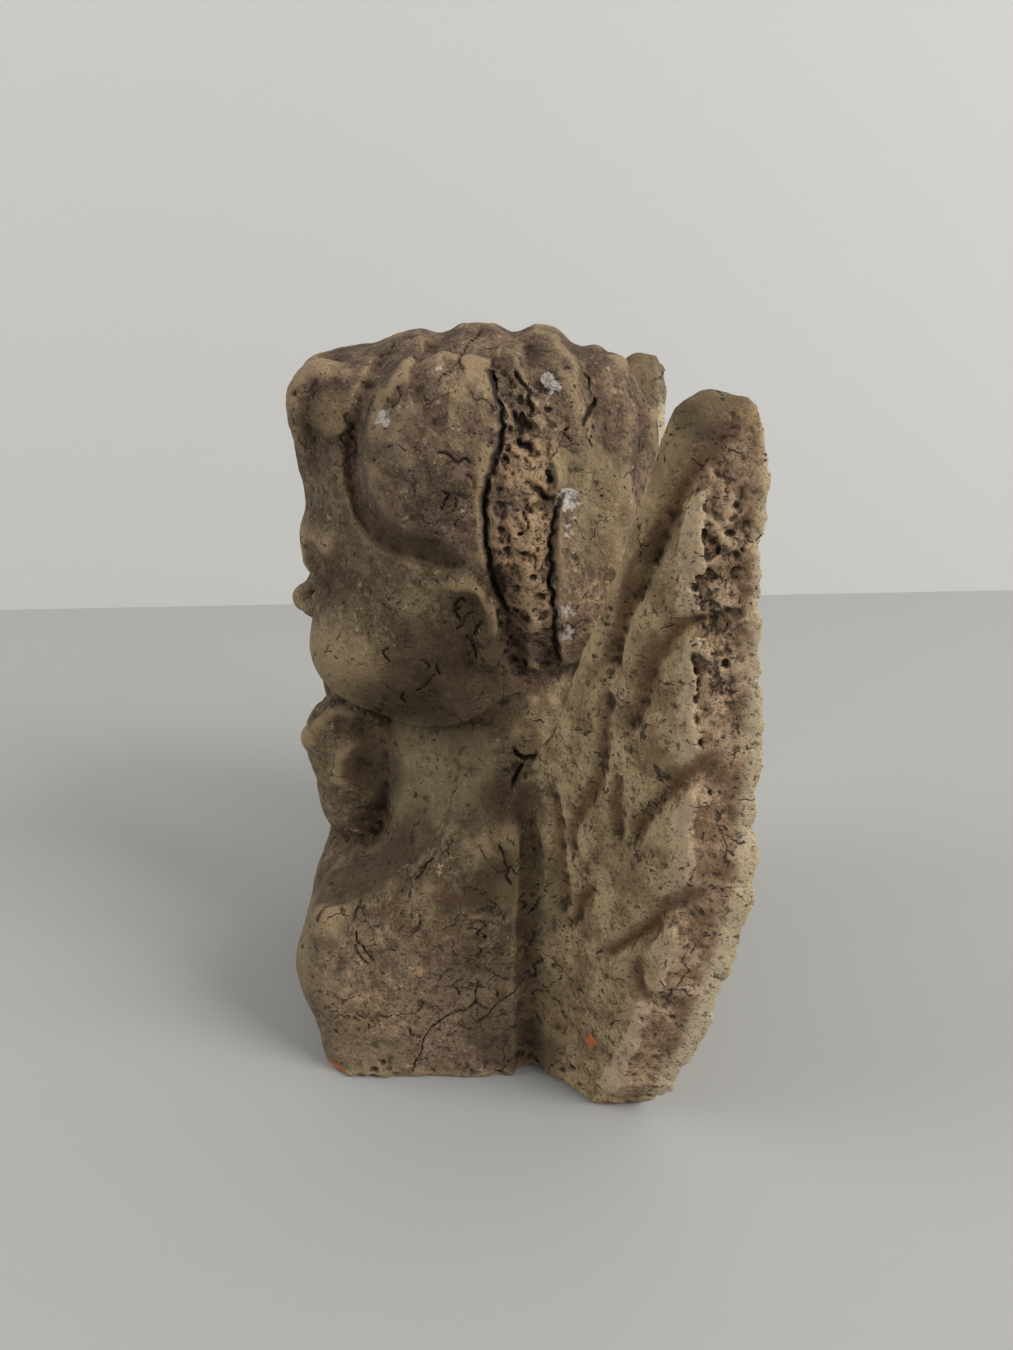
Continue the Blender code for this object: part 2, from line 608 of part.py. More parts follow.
def finish(obj):
    """Cuts the underside flat, keeps the one body and sets the origin under its middle."""
    shape = bmesh.new()
    shape.from_mesh(obj.data)
    drop_crumbs(shape)
    level = 0.4 * PART
    everything = shape.verts[:] + shape.edges[:] + shape.faces[:]
    up = (0, 0, 1)
    bmesh.ops.bisect_plane(shape, geom=everything, plane_co=(0, 0, level), plane_no=up, clear_inner=True)
    rim = [edge for edge in shape.edges if edge.is_boundary]
    bmesh.ops.triangle_fill(shape, edges=rim, use_beauty=True, normal=(0, 0, -1))
    bmesh.ops.triangulate(shape, faces=[face for face in shape.faces if len(face.verts) > 3])
    bmesh.ops.recalc_face_normals(shape, faces=shape.faces)
    places = np.array([vertex.co for vertex in shape.verts])
    low, high = places.min(axis=0), places.max(axis=0)
    middle = (low + high) / 2
    bmesh.ops.translate(shape, verts=shape.verts, vec=(-middle[0], -middle[1], -low[2]))
    shape.to_mesh(obj.data)
    shape.free()


def main():
    for obj in list(bpy.data.objects):
        bpy.data.objects.remove(obj)
    clay = Clay((-92, -70, -10), (92, 64, 208), PART)
    model_bust(clay)
    model_head(clay)
    model_hair(clay)
    model_arms(clay)
    model_wings(clay)
    model_face(clay)
    model_jaw(clay)
    model_ears(clay)
    model_locks(clay)
    model_hands(clay)
    model_feathers(clay)
    model_back(clay)
    clay.flatten_base()
    obj = skin(clay)
    thin_out(obj)
    finish(obj)


main()
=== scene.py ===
"""The angel bust as it looks: carved in fine clay, worn, cracked and patinated."""

from math import cos, radians, sin, tan

import bpy
import numpy as np
import openvdb
from mathutils import Matrix, Vector


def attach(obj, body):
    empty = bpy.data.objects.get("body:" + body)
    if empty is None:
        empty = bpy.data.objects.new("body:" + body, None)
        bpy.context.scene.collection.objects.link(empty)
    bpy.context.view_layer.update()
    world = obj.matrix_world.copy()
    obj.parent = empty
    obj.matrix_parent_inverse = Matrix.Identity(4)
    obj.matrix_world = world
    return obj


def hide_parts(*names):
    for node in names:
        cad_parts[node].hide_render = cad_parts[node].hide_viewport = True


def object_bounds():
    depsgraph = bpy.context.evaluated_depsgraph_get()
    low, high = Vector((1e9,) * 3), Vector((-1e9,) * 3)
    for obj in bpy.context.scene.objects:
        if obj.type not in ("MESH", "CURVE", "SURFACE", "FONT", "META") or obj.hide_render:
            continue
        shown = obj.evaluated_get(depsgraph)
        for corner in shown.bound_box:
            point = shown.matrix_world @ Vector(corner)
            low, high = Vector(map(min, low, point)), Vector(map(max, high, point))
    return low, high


PIECE_TRIANGLES = 190000

# Where the solid is cut flat, above the ground that the clay is drawn on, in metres
BASE_LEVEL = 0.0004

# Driving dimensions, in metres
HEIGHT = 0.200
WING_SPAN = 0.171
WING_THICKNESS = 0.0095
BASE_EDGE_ROUNDING = 0.003

# The figure is drawn in parts of its height, in a grid between these corners
PART = HEIGHT / 200
GRID = (-92, -70, -10), (92, 64, 208)

# A distance from the surface that is far enough anywhere, in metres
FAR = 0.1

# The edges of a wing's feathers, seen from the front: distance from the middle, and height
LONG_FEATHERS = [
    [(84.5, 183), (78, 169), (75, 161), (70.6, 152), (68, 141), (65, 131), (65, 124)],
    [(87, 146), (79.6, 141.6), (76, 135.6), (73, 128.6), (70.5, 120), (68, 111)],
    [(88, 119), (80.5, 108), (76, 100), (71, 90), (68.4, 82.7)],
    [(87, 86), (80, 77), (76.6, 71), (72.4, 63), (68.6, 57), (65, 52), (61.8, 47)],
]
SHORT_FEATHERS = [
    [(72.4, 58.8), (73.8, 48.3), (73.4, 40.6)],
    [(49.8, 92), (52.6, 75.5), (53, 54)],
    [(65, 124), (63.2, 110), (62, 97), (56, 82), (55.5, 71.7)],
    [(66.4, 104.4), (66.5, 89.2), (66.5, 81.7)],
    [(62, 70), (57, 59), (55.3, 51.5)],
]

# Wings: where the leaf leaves the back, how far it is swept back, and how obliquely its end is cut
WING_ROOT = (44 * PART, 5 * PART)
WING_SWEEP = radians(43)
END_SLANT = 0.12


def smooth_least(a, b, blend):
    """The lesser of two distances, with the valley between them filled by a soft fillet."""
    share = np.clip(0.5 + 0.5 * (b - a) / blend, 0, 1)
    return b + (a - b) * share - blend * share * (1 - share)


def smooth_step(value):
    value = np.clip(value, 0, 1)
    return value * value * (3 - 2 * value)


def rise(value, start, width):
    """Rises from 0 at the start to 1 over the width."""
    return smooth_step((value - start) / width)


def fall(value, end, width):
    """Falls from 1 to 0 at the end, over the width before it."""
    return smooth_step((end - value) / width)


def curve_through(points, pieces=6):
    """A smooth curve through the points, as closely spaced points."""
    points = np.asarray(points, float)
    before = 2 * points[0] - points[1]
    after = 2 * points[-1] - points[-2]
    p = np.vstack([before, points, after])
    t = np.linspace(0, 1, pieces, endpoint=False)[:, None]
    runs = [
        0.5 * (2 * b + (c - a) * t + (2 * a - 5 * b + 4 * c - d) * t**2 + (3 * b - a - 3 * c + d) * t**3)
        for a, b, c, d in zip(p, p[1:], p[2:], p[3:])
    ]
    return np.vstack(runs + [points[-1:]])


class Ball:
    """An egg-shaped lump, nodding forward by an angle in degrees."""

    def __init__(self, center, radii, nod=0):
        self.center = np.array(center, np.float32) * PART
        self.radii = np.array(radii, np.float32) * PART
        self.turn = cos(radians(nod)), sin(radians(nod))
        reach = self.radii if nod == 0 else self.radii.max()
        self.low = self.center - reach
        self.high = self.center + reach

    def distance(self, x, y, z):
        cosine, sine = self.turn
        x, y, z = x - self.center[0], y - self.center[1], z - self.center[2]
        y, z = cosine * y + sine * z, cosine * z - sine * y
        a, b, c = self.radii
        near = np.sqrt((x / a) ** 2 + (y / b) ** 2 + (z / c) ** 2)
        steep = np.sqrt((x / a**2) ** 2 + (y / b**2) ** 2 + (z / c**2) ** 2)
        return (near - 1) * np.maximum(near, 0.1) / np.maximum(steep, 1e-3)


class Block:
    """A box with rounded edges."""

    def __init__(self, center, half, rounding):
        self.center = np.array(center, np.float32) * PART
        self.half = np.array(half, np.float32) * PART
        self.rounding = rounding * PART
        self.low = self.center - self.half
        self.high = self.center + self.half

    def distance(self, x, y, z):
        over = [
            np.abs(value - middle) - half + self.rounding
            for value, middle, half in zip((x, y, z), self.center, self.half)
        ]
        outside = np.sqrt(sum(np.maximum(one, 0) ** 2 for one in over))
        inside = np.minimum(np.maximum(np.maximum(over[0], over[1]), over[2]), 0)
        return outside + inside - self.rounding


class Roll:
    """A round roll of clay along a curve, with a radius at each point."""

    def __init__(self, points, radii):
        radii = np.broadcast_to(radii, len(points))
        line = curve_through(np.column_stack([points, radii]), 12) * PART
        self.line = line.astype(np.float32)
        self.low = (self.line[:, :3] - self.line[:, 3:]).min(axis=0)
        self.high = (self.line[:, :3] + self.line[:, 3:]).max(axis=0)

    def distance(self, x, y, z):
        """Each short length of the roll is worked out only where it is near."""
        least = np.full((x.size, y.size, z.size), FAR, np.float32)
        for (*start, thin), (*end, thick) in zip(self.line, self.line[1:]):
            start, end = np.array(start), np.array(end)
            reach = max(thin, thick) + 10 * PART
            low = np.minimum(start, end) - reach
            high = np.maximum(start, end) + reach
            near = tuple(
                slice(*np.searchsorted(axis.ravel(), ends)) for axis, ends in zip((x, y, z), zip(low, high))
            )
            x0, y0, z0 = x[near[0]] - start[0], y[:, near[1]] - start[1], z[:, :, near[2]] - start[2]
            run = end - start
            along = np.clip((x0 * run[0] + y0 * run[1] + z0 * run[2]) / (run @ run), 0, 1)
            away = (x0 - along * run[0]) ** 2 + (y0 - along * run[1]) ** 2 + (z0 - along * run[2]) ** 2
            here = np.sqrt(away) - (thin + (thick - thin) * along)
            least[near] = np.minimum(least[near], here)
        return least


class Wing:
    """A leaf on one side: its outline is drawn from the front, and the leaf is swept back."""

    def __init__(self, side, outline):
        self.side = side
        stretch = (WING_SPAN / 2 - WING_ROOT[0]) / (41.5 * PART)
        outline = np.array(outline, float) * PART
        outline[:, 0] = WING_ROOT[0] + (outline[:, 0] - WING_ROOT[0]) * stretch
        self.outline = outline
        across, height = outline[:, 0], outline[:, 1]
        back = WING_ROOT[1] + (across.max() - WING_ROOT[0]) * tan(WING_SWEEP) + 3 * WING_THICKNESS
        ends = sorted((side * across.min(), side * across.max()))
        self.low = np.array([ends[0], -10 * PART, height.min()])
        self.high = np.array([ends[1], back, height.max()])

    def distance(self, x, y, z):
        across = x * self.side
        within = outline_distance(across[:, 0, 0], z[0, 0, :], self.outline)[:, None, :]
        along = (across - WING_ROOT[0]) * cos(WING_SWEEP) + (y - WING_ROOT[1]) * sin(WING_SWEEP)
        behind = behind_wing(self.side, x, y)
        thick = WING_THICKNESS + 8 * PART * (1 - smooth_step(along / (40 * PART)))
        thick = thick + 2.5 * PART * (1 - smooth_step((z - 70 * PART) / (80 * PART)))
        thick = thick - 2 * PART * smooth_step((z - 178 * PART) / (10 * PART))
        outer = smooth_step((across - 62 * PART) / (14 * PART))
        within = within + END_SLANT * np.maximum(thick - behind, 0) * outer
        leaf = np.abs(behind - thick / 2) - thick / 2
        return -smooth_least(-within, -leaf, 1.2 * PART)


def behind_wing(side, x, y):
    """How far a point lies behind the front face of a wing."""
    return (y - WING_ROOT[1]) * cos(WING_SWEEP) - (x * side - WING_ROOT[0]) * sin(WING_SWEEP)


def is_inside(u, v, outline):
    """Which places lie inside a closed outline."""
    found = np.zeros(np.broadcast(u, v).shape, bool)
    for (u0, v0), (u1, v1) in zip(outline, np.roll(outline, -1, axis=0)):
        if v0 != v1:
            found ^= ((v0 > v) != (v1 > v)) & (u < u0 + (u1 - u0) * (v - v0) / (v1 - v0))
    return found


def outline_distance(across, up, outline):
    """The distance to a closed outline over a grid, below 0 inside it."""
    u, v = across[:, None], up[None, :]
    least = np.full((len(across), len(up)), np.inf)
    for (u0, v0), (u1, v1) in zip(outline, np.roll(outline, -1, axis=0)):
        du, dv = u1 - u0, v1 - v0
        along = np.clip(((u - u0) * du + (v - v0) * dv) / (du * du + dv * dv), 0, 1)
        least = np.minimum(least, np.hypot(u - u0 - along * du, v - v0 - along * dv))
    return np.where(is_inside(u, v, outline), -least, least).astype(np.float32)


class View:
    """A side that lines are drawn from. The clay takes them beyond a start, fading in over 6 parts."""

    def __init__(self, axis, side, start):
        self.axis = "xyz".index(axis)
        self.side = side
        self.start = start * PART

    def takes(self, *places):
        return smooth_step((self.side * places[self.axis] - self.start) / (6 * PART))


class WingFace:
    """One face of a wing, seen along Y and away from the root: face 1 is the front, -1 the back."""

    def __init__(self, side, face):
        self.axis = 1
        self.side = side
        self.face = face

    def takes(self, x, y, z):
        behind = behind_wing(self.side, x, y) / PART
        return smooth_step((self.side * x / PART - 44) / 6) * smooth_step(0.5 + self.face * (5 - behind) / 3)


def plane_of(view):
    """The two axes that a view's lines are drawn in."""
    return [axis for axis in range(3) if axis != view.axis]


LEFT = View("x", 1, 8)
RIGHT = View("x", -1, 8)
FRONT = View("y", -1, 14)
BACK = View("y", 1, 4)
TOP = View("z", 1, 150)


class Clay:
    """A grid that holds, at each point, how far the surface is: below 0 is inside the clay."""

    def __init__(self, low, high, step):
        self.step = step
        self.axes = [np.arange(a * PART, b * PART, step, dtype=np.float32) for a, b in zip(low, high)]
        self.field = np.full([len(axis) for axis in self.axes], FAR, np.float32)

    def finer(self):
        """Halves the step, with a smooth curve through the values along each axis."""
        for axis in range(3):
            old = np.moveaxis(self.field, axis, 0)
            new = np.empty((2 * len(old) - 1, *old.shape[1:]), np.float32)
            new[0::2] = old
            new[1::2] = (old[:-1] + old[1:]) / 2
            new[3:-3:2] = (9 * (old[1:-2] + old[2:-1]) - old[:-3] - old[3:]) / 16
            self.field = np.moveaxis(new, 0, axis)
        self.field = np.ascontiguousarray(self.field)
        self.step /= 2
        self.axes = [
            np.linspace(axis[0], axis[-1], 2 * len(axis) - 1, dtype=np.float32) for axis in self.axes
        ]

    def window(self, low, high):
        """The stretch of the grid between two corners, and the coordinates in it."""
        stretch = tuple(slice(*np.searchsorted(axis, (a, b))) for axis, a, b in zip(self.axes, low, high))
        return stretch, np.ix_(*(axis[one] for axis, one in zip(self.axes, stretch)))

    def add(self, shape, blend):
        blend = blend * PART
        reach = blend + 8 * PART
        stretch, (x, y, z) = self.window(shape.low - reach, shape.high + reach)
        here = self.field[stretch]
        self.field[stretch] = smooth_least(here, shape.distance(x, y, z), blend)

    def cut(self, shape, blend):
        blend = blend * PART
        reach = blend + 2 * self.step
        stretch, (x, y, z) = self.window(shape.low - reach, shape.high + reach)
        here = self.field[stretch]
        self.field[stretch] = -smooth_least(-here, shape.distance(x, y, z), blend)

    def draw(self, view, points, width, depth, slope=None):
        """Draws a line on the surface: a depth below 0 raises a ridge.

        With a slope, the line's left side falls away over that width, like the edge of a lock
        of hair that lies on the next one.
        """
        first, second = plane_of(view)
        line = curve_through(points) * PART
        width, depth, slope = width * PART, depth * PART, (slope or width) * PART
        reach = max(width, slope)
        low, high = np.full(3, -1.0), np.full(3, 1.0)
        low[[first, second]] = line.min(axis=0) - reach
        high[[first, second]] = line.max(axis=0) + reach
        stretch, grids = self.window(low, high)
        profile = line_profile(grids[first], grids[second], line, width, slope)
        self.field[stretch] += (depth * profile * view.takes(*grids)).astype(np.float32)

    def lay(self, view, points, radii, blend, sunk):
        """Lays a roll on the surface along a line, with a share of its thickness sunk in."""
        first, second = plane_of(view)
        places = []
        for (a, b), radius in zip(points, radii):
            at = [slice(None)] * 3
            at[first] = np.searchsorted(self.axes[first], a * PART)
            at[second] = np.searchsorted(self.axes[second], b * PART)
            within = np.nonzero(self.field[tuple(at)] < 0)[0]
            surface = self.axes[view.axis][within[-1 if view.side > 0 else 0]] / PART
            place = np.zeros(3)
            place[[first, second]] = a, b
            place[view.axis] = surface - view.side * radius * (2 * sunk - 1)
            places.append(place)
        self.add(Roll(places, radii), blend)

    def flatten_base(self):
        """Trims the clay at the ground and rounds the edge."""
        z = self.axes[2]
        self.field[:] = -smooth_least(-self.field, z, BASE_EDGE_ROUNDING)


def line_profile(a, b, line, width, slope):
    """How deep a line is at each place, from 0 to 1: it narrows and fades towards both ends."""
    steps = np.hypot(*np.diff(line, axis=0).T)
    passed = np.concatenate([[0], np.cumsum(steps)])
    deepest = 0
    for (a0, b0), (a1, b1), before, length in zip(line, line[1:], passed, steps):
        da, db = a1 - a0, b1 - b0
        along = np.clip(((a - a0) * da + (b - b0) * db) / (length * length), 0, 1)
        away = np.sqrt((a - a0 - along * da) ** 2 + (b - b0 - along * db) ** 2)
        wide = width if slope == width else np.where((b - b0) * da > (a - a0) * db, slope, width)
        way = before + along * length
        fade = smooth_step(np.minimum(way, passed[-1] - way) / (3 * width))
        here = away / (wide * (0.5 + 0.5 * fade))
        deepest = np.maximum(deepest, np.clip(1 - here * here, 0, 1) ** 2 * fade)
    return deepest


def facing(view, line):
    """The line turned round on the right side, so that its slope falls on the same side of the lock."""
    return line[::-1] if view is RIGHT else line


def on_side(side, line):
    """The line as it is for side 1, the left, and mirrored for side -1."""
    return [(side * across, *rest) for across, *rest in line]


def model_bust(clay):
    """The trunk, cut off at the base, and the shoulders, neck and throat."""
    clay.add(Block((0, -14.3, 22), (52.5, 41.3, 34), 12), 6)
    clay.add(Ball((0, -8, 58), (44, 30, 32)), 12)
    clay.add(Ball((0, 5, 58), (43, 23, 40)), 12)
    clay.add(Roll([(0, -1, 62), (0, -1, 112)], [28, 28]), 10)
    clay.add(Ball((0, -16, 84), (30, 23, 26)), 10)
    for side in (1, -1):
        clay.add(Ball((side * 32, 2, 67), (20, 20, 20)), 10)
        clay.add(Ball((side * 21, 6, 92), (17, 15, 24)), 8)
        clay.add(Ball((side * 22, -3, 104), (13, 16, 15)), 8)


def model_head(clay):
    clay.add(Ball((0, -6, 148), (38, 42, 46)), 8)
    clay.add(Ball((0, -19, 127), (36.5, 33, 33)), 10)
    clay.add(Ball((0, -25, 113), (25, 27, 20)), 10)
    clay.add(Ball((0, -22, 150), (33, 31, 26)), 10)


def model_hair(clay):
    """The mass of the hair: a roll over the forehead, curls at the sides and a full back."""
    clay.add(Ball((0, -4, 157.6), (41, 43, 41)), 5)
    clay.add(Ball((0, -12, 171.4), (35, 44, 27)), 8)
    clay.add(Ball((0, 11, 168), (31, 30, 29.5)), 8)
    over_forehead = [(-20, -37, 179), (-8, -39.5, 181), (8, -39.5, 181), (20, -37, 179)]
    clay.add(Roll(over_forehead, [10, 12.5, 12.5, 10]), 3)
    clay.add(Ball((0, -25, 179), (31, 22, 17.5)), 6)
    for side in (1, -1):
        clay.add(Ball((side * 28, -11, 170), (15, 23, 25)), 3)
        clay.add(Ball((side * 24, 9, 146), (18, 27, 36)), 5)


def model_arms(clay):
    """The left arm lies across the front, and the right forearm rises to the chin.

    A crest runs up each upper arm to the shoulder, with a hollow above it and a crease behind it.
    """
    for side in (1, -1):
        clay.add(Roll([(side * 34, 2, 65), (side * 34, -18, 48), (side * 32, -39, 27)], [20, 21, 23]), 5)
    clay.add(Roll([(-32, -40, 28), (-18, -44, 46), (-2, -46, 62)], [17, 14, 12]), 5)
    clay.add(Roll([(32, -40, 28), (8, -45, 38), (-18, -46, 43)], [20, 16, 13]), 4)
    crest = [
        (36, -42, 43), (38.5, -36, 49), (39, -29, 54.5), (39, -20.5, 61.5), (38.5, -13, 69),
        (37, -5, 76), (34, 3, 81),
    ]
    above_crest = [
        (42, -53, 57), (43, -46, 61), (43, -39, 66.5), (43.5, -30.5, 73), (44, -23, 80.5), (44, -15, 88.5),
    ]
    behind_arm = [(52, 5.5, 2), (52, 6.5, 44), (50, 8, 84)]
    for side in (1, -1):
        clay.add(Roll(on_side(side, crest), [6, 7, 7, 7, 7, 7, 6]), 4)
        clay.cut(Roll(on_side(side, above_crest), [4, 7, 8.5, 9, 8.5, 5]), 2)
        clay.cut(Roll(on_side(side, behind_arm), [4, 3.4, 3]), 2)


def model_wings(clay):
    outline = [
        (30, -12), (60, -12), (62, 0), (65.5, 6), (69.5, 13), (73, 25), (77.2, 40), (79.4, 53),
        (82.2, 66), (84, 75.5), (85, 84), (84.6, 96), (86, 115), (85, 128), (85.8, 143),
        (84.8, 148), (85, 165), (85.6, 177), (85, 183.5), (83, 187), (79.6, 187.8), (76.4, 185),
        (74.2, 178.5), (71.2, 168.5), (68, 155), (64.2, 143.3), (59.9, 130.6), (56.7, 119.4),
        (51.7, 105.6), (44, 90), (30, 84),
    ]
    for side in (1, -1):
        clay.add(Wing(side, outline), 4)


def model_face(clay):
    """A calm child's face of plain proportions, with the eyes a little below half the head's height."""
    for side in (1, -1):
        clay.add(Ball((side * 19, -38, 117.5), (14, 13, 12.5)), 12)
        model_eye(clay, side)
    bridge = [(0, -48, 146), (0, -50.6, 137), (0, -54, 130), (0, -56.8, 126.8)]
    clay.add(Roll(bridge, [3.4, 2.8, 3.3, 4.3]), 4)
    for side in (1, -1):
        clay.add(Ball((side * 4.3, -53.8, 125.2), (3.1, 3.9, 3)), 2)
        clay.cut(Ball((side * 2.3, -56.8, 122), (1.3, 2, 1.1)), 1.2)
    model_mouth(clay)
    clay.add(Ball((0, -45.5, 99.5), (11, 8.6, 7.5)), 5)


def model_jaw(clay):
    """The cheeks overhang the neck, which falls away below the jaw."""
    jaw = [(5, 110), (-0.4, 106), (-8.5, 100), (-18.5, 95.6), (-25, 94.8), (-34, 96), (-42, 97)]
    for view in (LEFT, RIGHT):
        clay.draw(view, facing(view, jaw), 2.4, 2, 9)


def model_eye(clay, side):
    clay.cut(Ball((side * 14.8, -57, 138.6), (10.5, 7.5, 7.5)), 6)
    clay.add(Ball((side * 14.3, -42.6, 136.8), (8.8, 8.5, 8.2)), 1.5)
    upper_lid = [
        (6.3, -48.2, 134.8), (9.3, -50.8, 139), (14.4, -52, 141.4), (20, -49.4, 139.4), (23.6, -45.4, 135.6),
    ]
    lower_lid = [
        (6.5, -48.2, 134.4), (10.4, -50, 131.8), (15, -50.5, 131), (20, -48, 132.4), (23.4, -45.2, 135),
    ]
    fold = [(7.6, -48.6, 140), (14.4, -51, 144.6), (23.6, -45.2, 140.2)]
    brow = [(6, -49.6, 146), (14, -50.4, 149), (25, -43.4, 147)]
    for line, radii, blend in (
        (upper_lid, [0.9, 1.2, 1.35, 1.2, 0.9], 0.9),
        (fold, [1.2, 2, 1.2], 3),
        (lower_lid, [0.8, 1.1, 1.2, 1.1, 0.8], 1.2),
        (brow, [1.4, 1.5, 1], 7),
    ):
        clay.add(Roll(on_side(side, line), radii), blend)


def model_mouth(clay):
    clay.add(Ball((0, -45.6, 111.5), (15, 9, 9.5)), 7)
    clay.draw(FRONT, [(0, 121.4), (0, 118.4), (0, 115.4)], 2.4, 0.6)
    bow = [
        (-9.8, -48.6, 112.4), (-5, -53.2, 114), (-1.7, -54.8, 114.6), (0, -54.8, 113.9),
        (1.7, -54.8, 114.6), (5, -53.2, 114), (9.8, -48.6, 112.4),
    ]
    clay.add(Roll(bow, [0.8, 1.7, 2.1, 2, 2.1, 1.7, 0.8]), 1)
    under = [
        (-8.6, -49.2, 111.2), (-4, -52.6, 108.8), (0, -53.6, 108.2), (4, -52.6, 108.8), (8.6, -49.2, 111.2),
    ]
    clay.add(Roll(under, [0.9, 2.2, 2.7, 2.2, 0.9]), 1)
    parting = [(-11.4, 113), (-8, 111.9), (-4, 111.4), (0, 110.9), (4, 111.4), (8, 111.9), (11.4, 113)]
    clay.draw(FRONT, parting, 1.2, 1.2)


def model_ears(clay):
    for side in (1, -1):
        rim = [(side * 38, -10, 140), (side * 40, -4, 138), (side * 39, -1, 130), (side * 36, -4, 120)]
        clay.add(Roll(rim, [2, 2.5, 2.2, 1.8]), 4.5)
        clay.cut(Ball((side * 42.4, -7, 132), (3.6, 2.8, 4.6)), 3)


def model_hands(clay):
    """The right hand is bent back and closed under the chin, and the left hand lies on the right arm."""
    clay.add(Ball((3, -45.5, 66), (14, 12.5, 18), 8), 4)
    clay.add(Ball((4, -43, 82), (15, 13, 13)), 4)
    for x, lift in ((-9, -1.5), (-2, 0.5), (5, 1), (11.5, -0.5)):
        clay.add(Roll([(x * 0.6, -49, 62), (x * 0.85, -53, 77), (x, -54.6, 88 + lift)], [3.6, 4.2, 5.2]), 4)
        finger = [
            (x, -54.4, 89 + lift), (x + 0.5, -49, 94 + lift), (x + 1, -40, 94.5 + lift),
            (x + 2, -33.5, 86), (x + 2, -34.5, 75), (x + 1, -41, 71),
        ]
        clay.add(Roll(finger, [5, 4.5, 4.5, 4.6, 4.2, 3.6]), 1.6)
    for side in (1, -1):
        clay.add(Ball((3 + side * 10.5, -44.5, 80), (7.5, 9.5, 13), 8), 5)
    clay.cut(Ball((23.5, -40, 82), (5, 5, 6)), 4)
    clay.add(Ball((-28, -50, 42), (13, 9, 12)), 4)
    for number in range(4):
        up = 33 + 6.6 * number
        finger = [(-19, -55, up + 1), (-29, -58.5, up + 0.5), (-38, -55, up - 0.5), (-43, -48, up - 1)]
        clay.add(Roll(finger, [3.4, 3.9, 3.8, 3.2]), 1.4)


def model_locks(clay):
    """Lines and edges part the hair into locks, which are combed back from the forehead."""
    for x, lean in ((-19, -2.5), (-11.5, -1.2), (-4, -0.3), (3.5, 0.3), (11, 1.2), (18.5, 2.5)):
        drop = (x / 20) ** 2
        lock = [
            (x * 0.9, 3 * drop - 42, 169), (x, 3 * drop - 48.6, 172), (x, 3 * drop - 50.6, 181),
            (x, 3 * drop - 46.8, 188), (x + lean, -37, 190.6 - 4 * drop),
            (x + 2 * lean, -22, 192.8 - 7 * drop),
        ]
        clay.add(Roll(lock, [2.5, 4.6, 5, 5.2, 5.2, 4]), 1.2)
    curl = [
        (-24, 197), (-27.5, 192), (-31, 186), (-34.4, 177), (-35.6, 170),
        (-35.4, 163), (-32.4, 154), (-26.5, 149), (-17.5, 146), (-8, 144),
    ]
    crack = [
        (-0.4, 192), (1.8, 183), (1.8, 174), (-0.6, 167), (-2.4, 159),
        (-2.1, 150), (-1, 141.8), (2.1, 132), (2, 123),
    ]
    behind_crown = [(6.8, 199), (9.4, 189), (13.4, 180.6), (17, 173.5), (18.2, 166.7), (17, 160), (15, 154)]
    over_ear = [
        (-8, 145), (-3.5, 142.5), (-1, 136), (2, 129), (1.8, 123), (4, 115), (9, 110.5), (16, 113), (21, 112),
    ]
    edges = [
        (curl, 2.4, 1.8, 7),
        ([(-12, 199), (-16.5, 194), (-17, 187), (-15, 181.5), (-11.5, 176.5)], 2.4, 1.7, 7),
        (behind_crown, 2.6, 2.3, 8),
        ([(24, 193), (22.6, 184), (25.4, 176), (25, 167), (22, 150), (24, 136)], 2.8, 1.5, 8),
        ([(32, 184), (31, 175), (34, 166), (32, 155), (33, 140)], 2.8, 1.4, 7),
        (crack, 1.4, 1.7, 9),
        ([(15, 116), (13.4, 126), (13.8, 140), (14.2, 154), (16, 163)], 1.6, 1.7, 7),
        (over_ear, 3, 1.6, 7),
    ]
    side_ridge = [(-17, 195), (-22, 189), (-27, 181), (-29, 172), (-27.5, 162), (-22, 155), (-13, 152)]
    for view in (LEFT, RIGHT):
        for line, width, depth, slope in edges:
            clay.draw(view, facing(view, line), width, depth, slope)
        clay.draw(view, side_ridge, 5, -0.9)
        clay.draw(view, [(-3, 199.5), (-7.3, 195), (-10, 189), (-12, 183)], 5, 1.3)
    for y, depth in ((-30, 0.8), (-13.5, 1.6), (6, 2), (22, 2)):
        clay.draw(TOP, [(-27, y + 3), (-12, y), (0, y - 1), (12, y), (27, y + 3)], 6, depth)
    for x in (-24, -12, 0, 12, 24):
        lock = [(x * 0.3, 188), (x * 0.75, 172), (x * 1.1, 156), (x, 140), (x * 1.15, 126), (x * 0.9, 115)]
        clay.lay(BACK, lock, [3.5, 6.5, 7.5, 7, 6, 3], 2, 0.86)
    for x in (-18, -6, 6, 18):
        lock = [(x * 0.5, 176), (x * 1.1, 158), (x * 0.9, 140), (x * 1.2, 124), (x * 1.05, 111)]
        clay.lay(BACK, lock, [3.5, 6.5, 6.5, 5.5, 2.5], 1.5, 0.84)


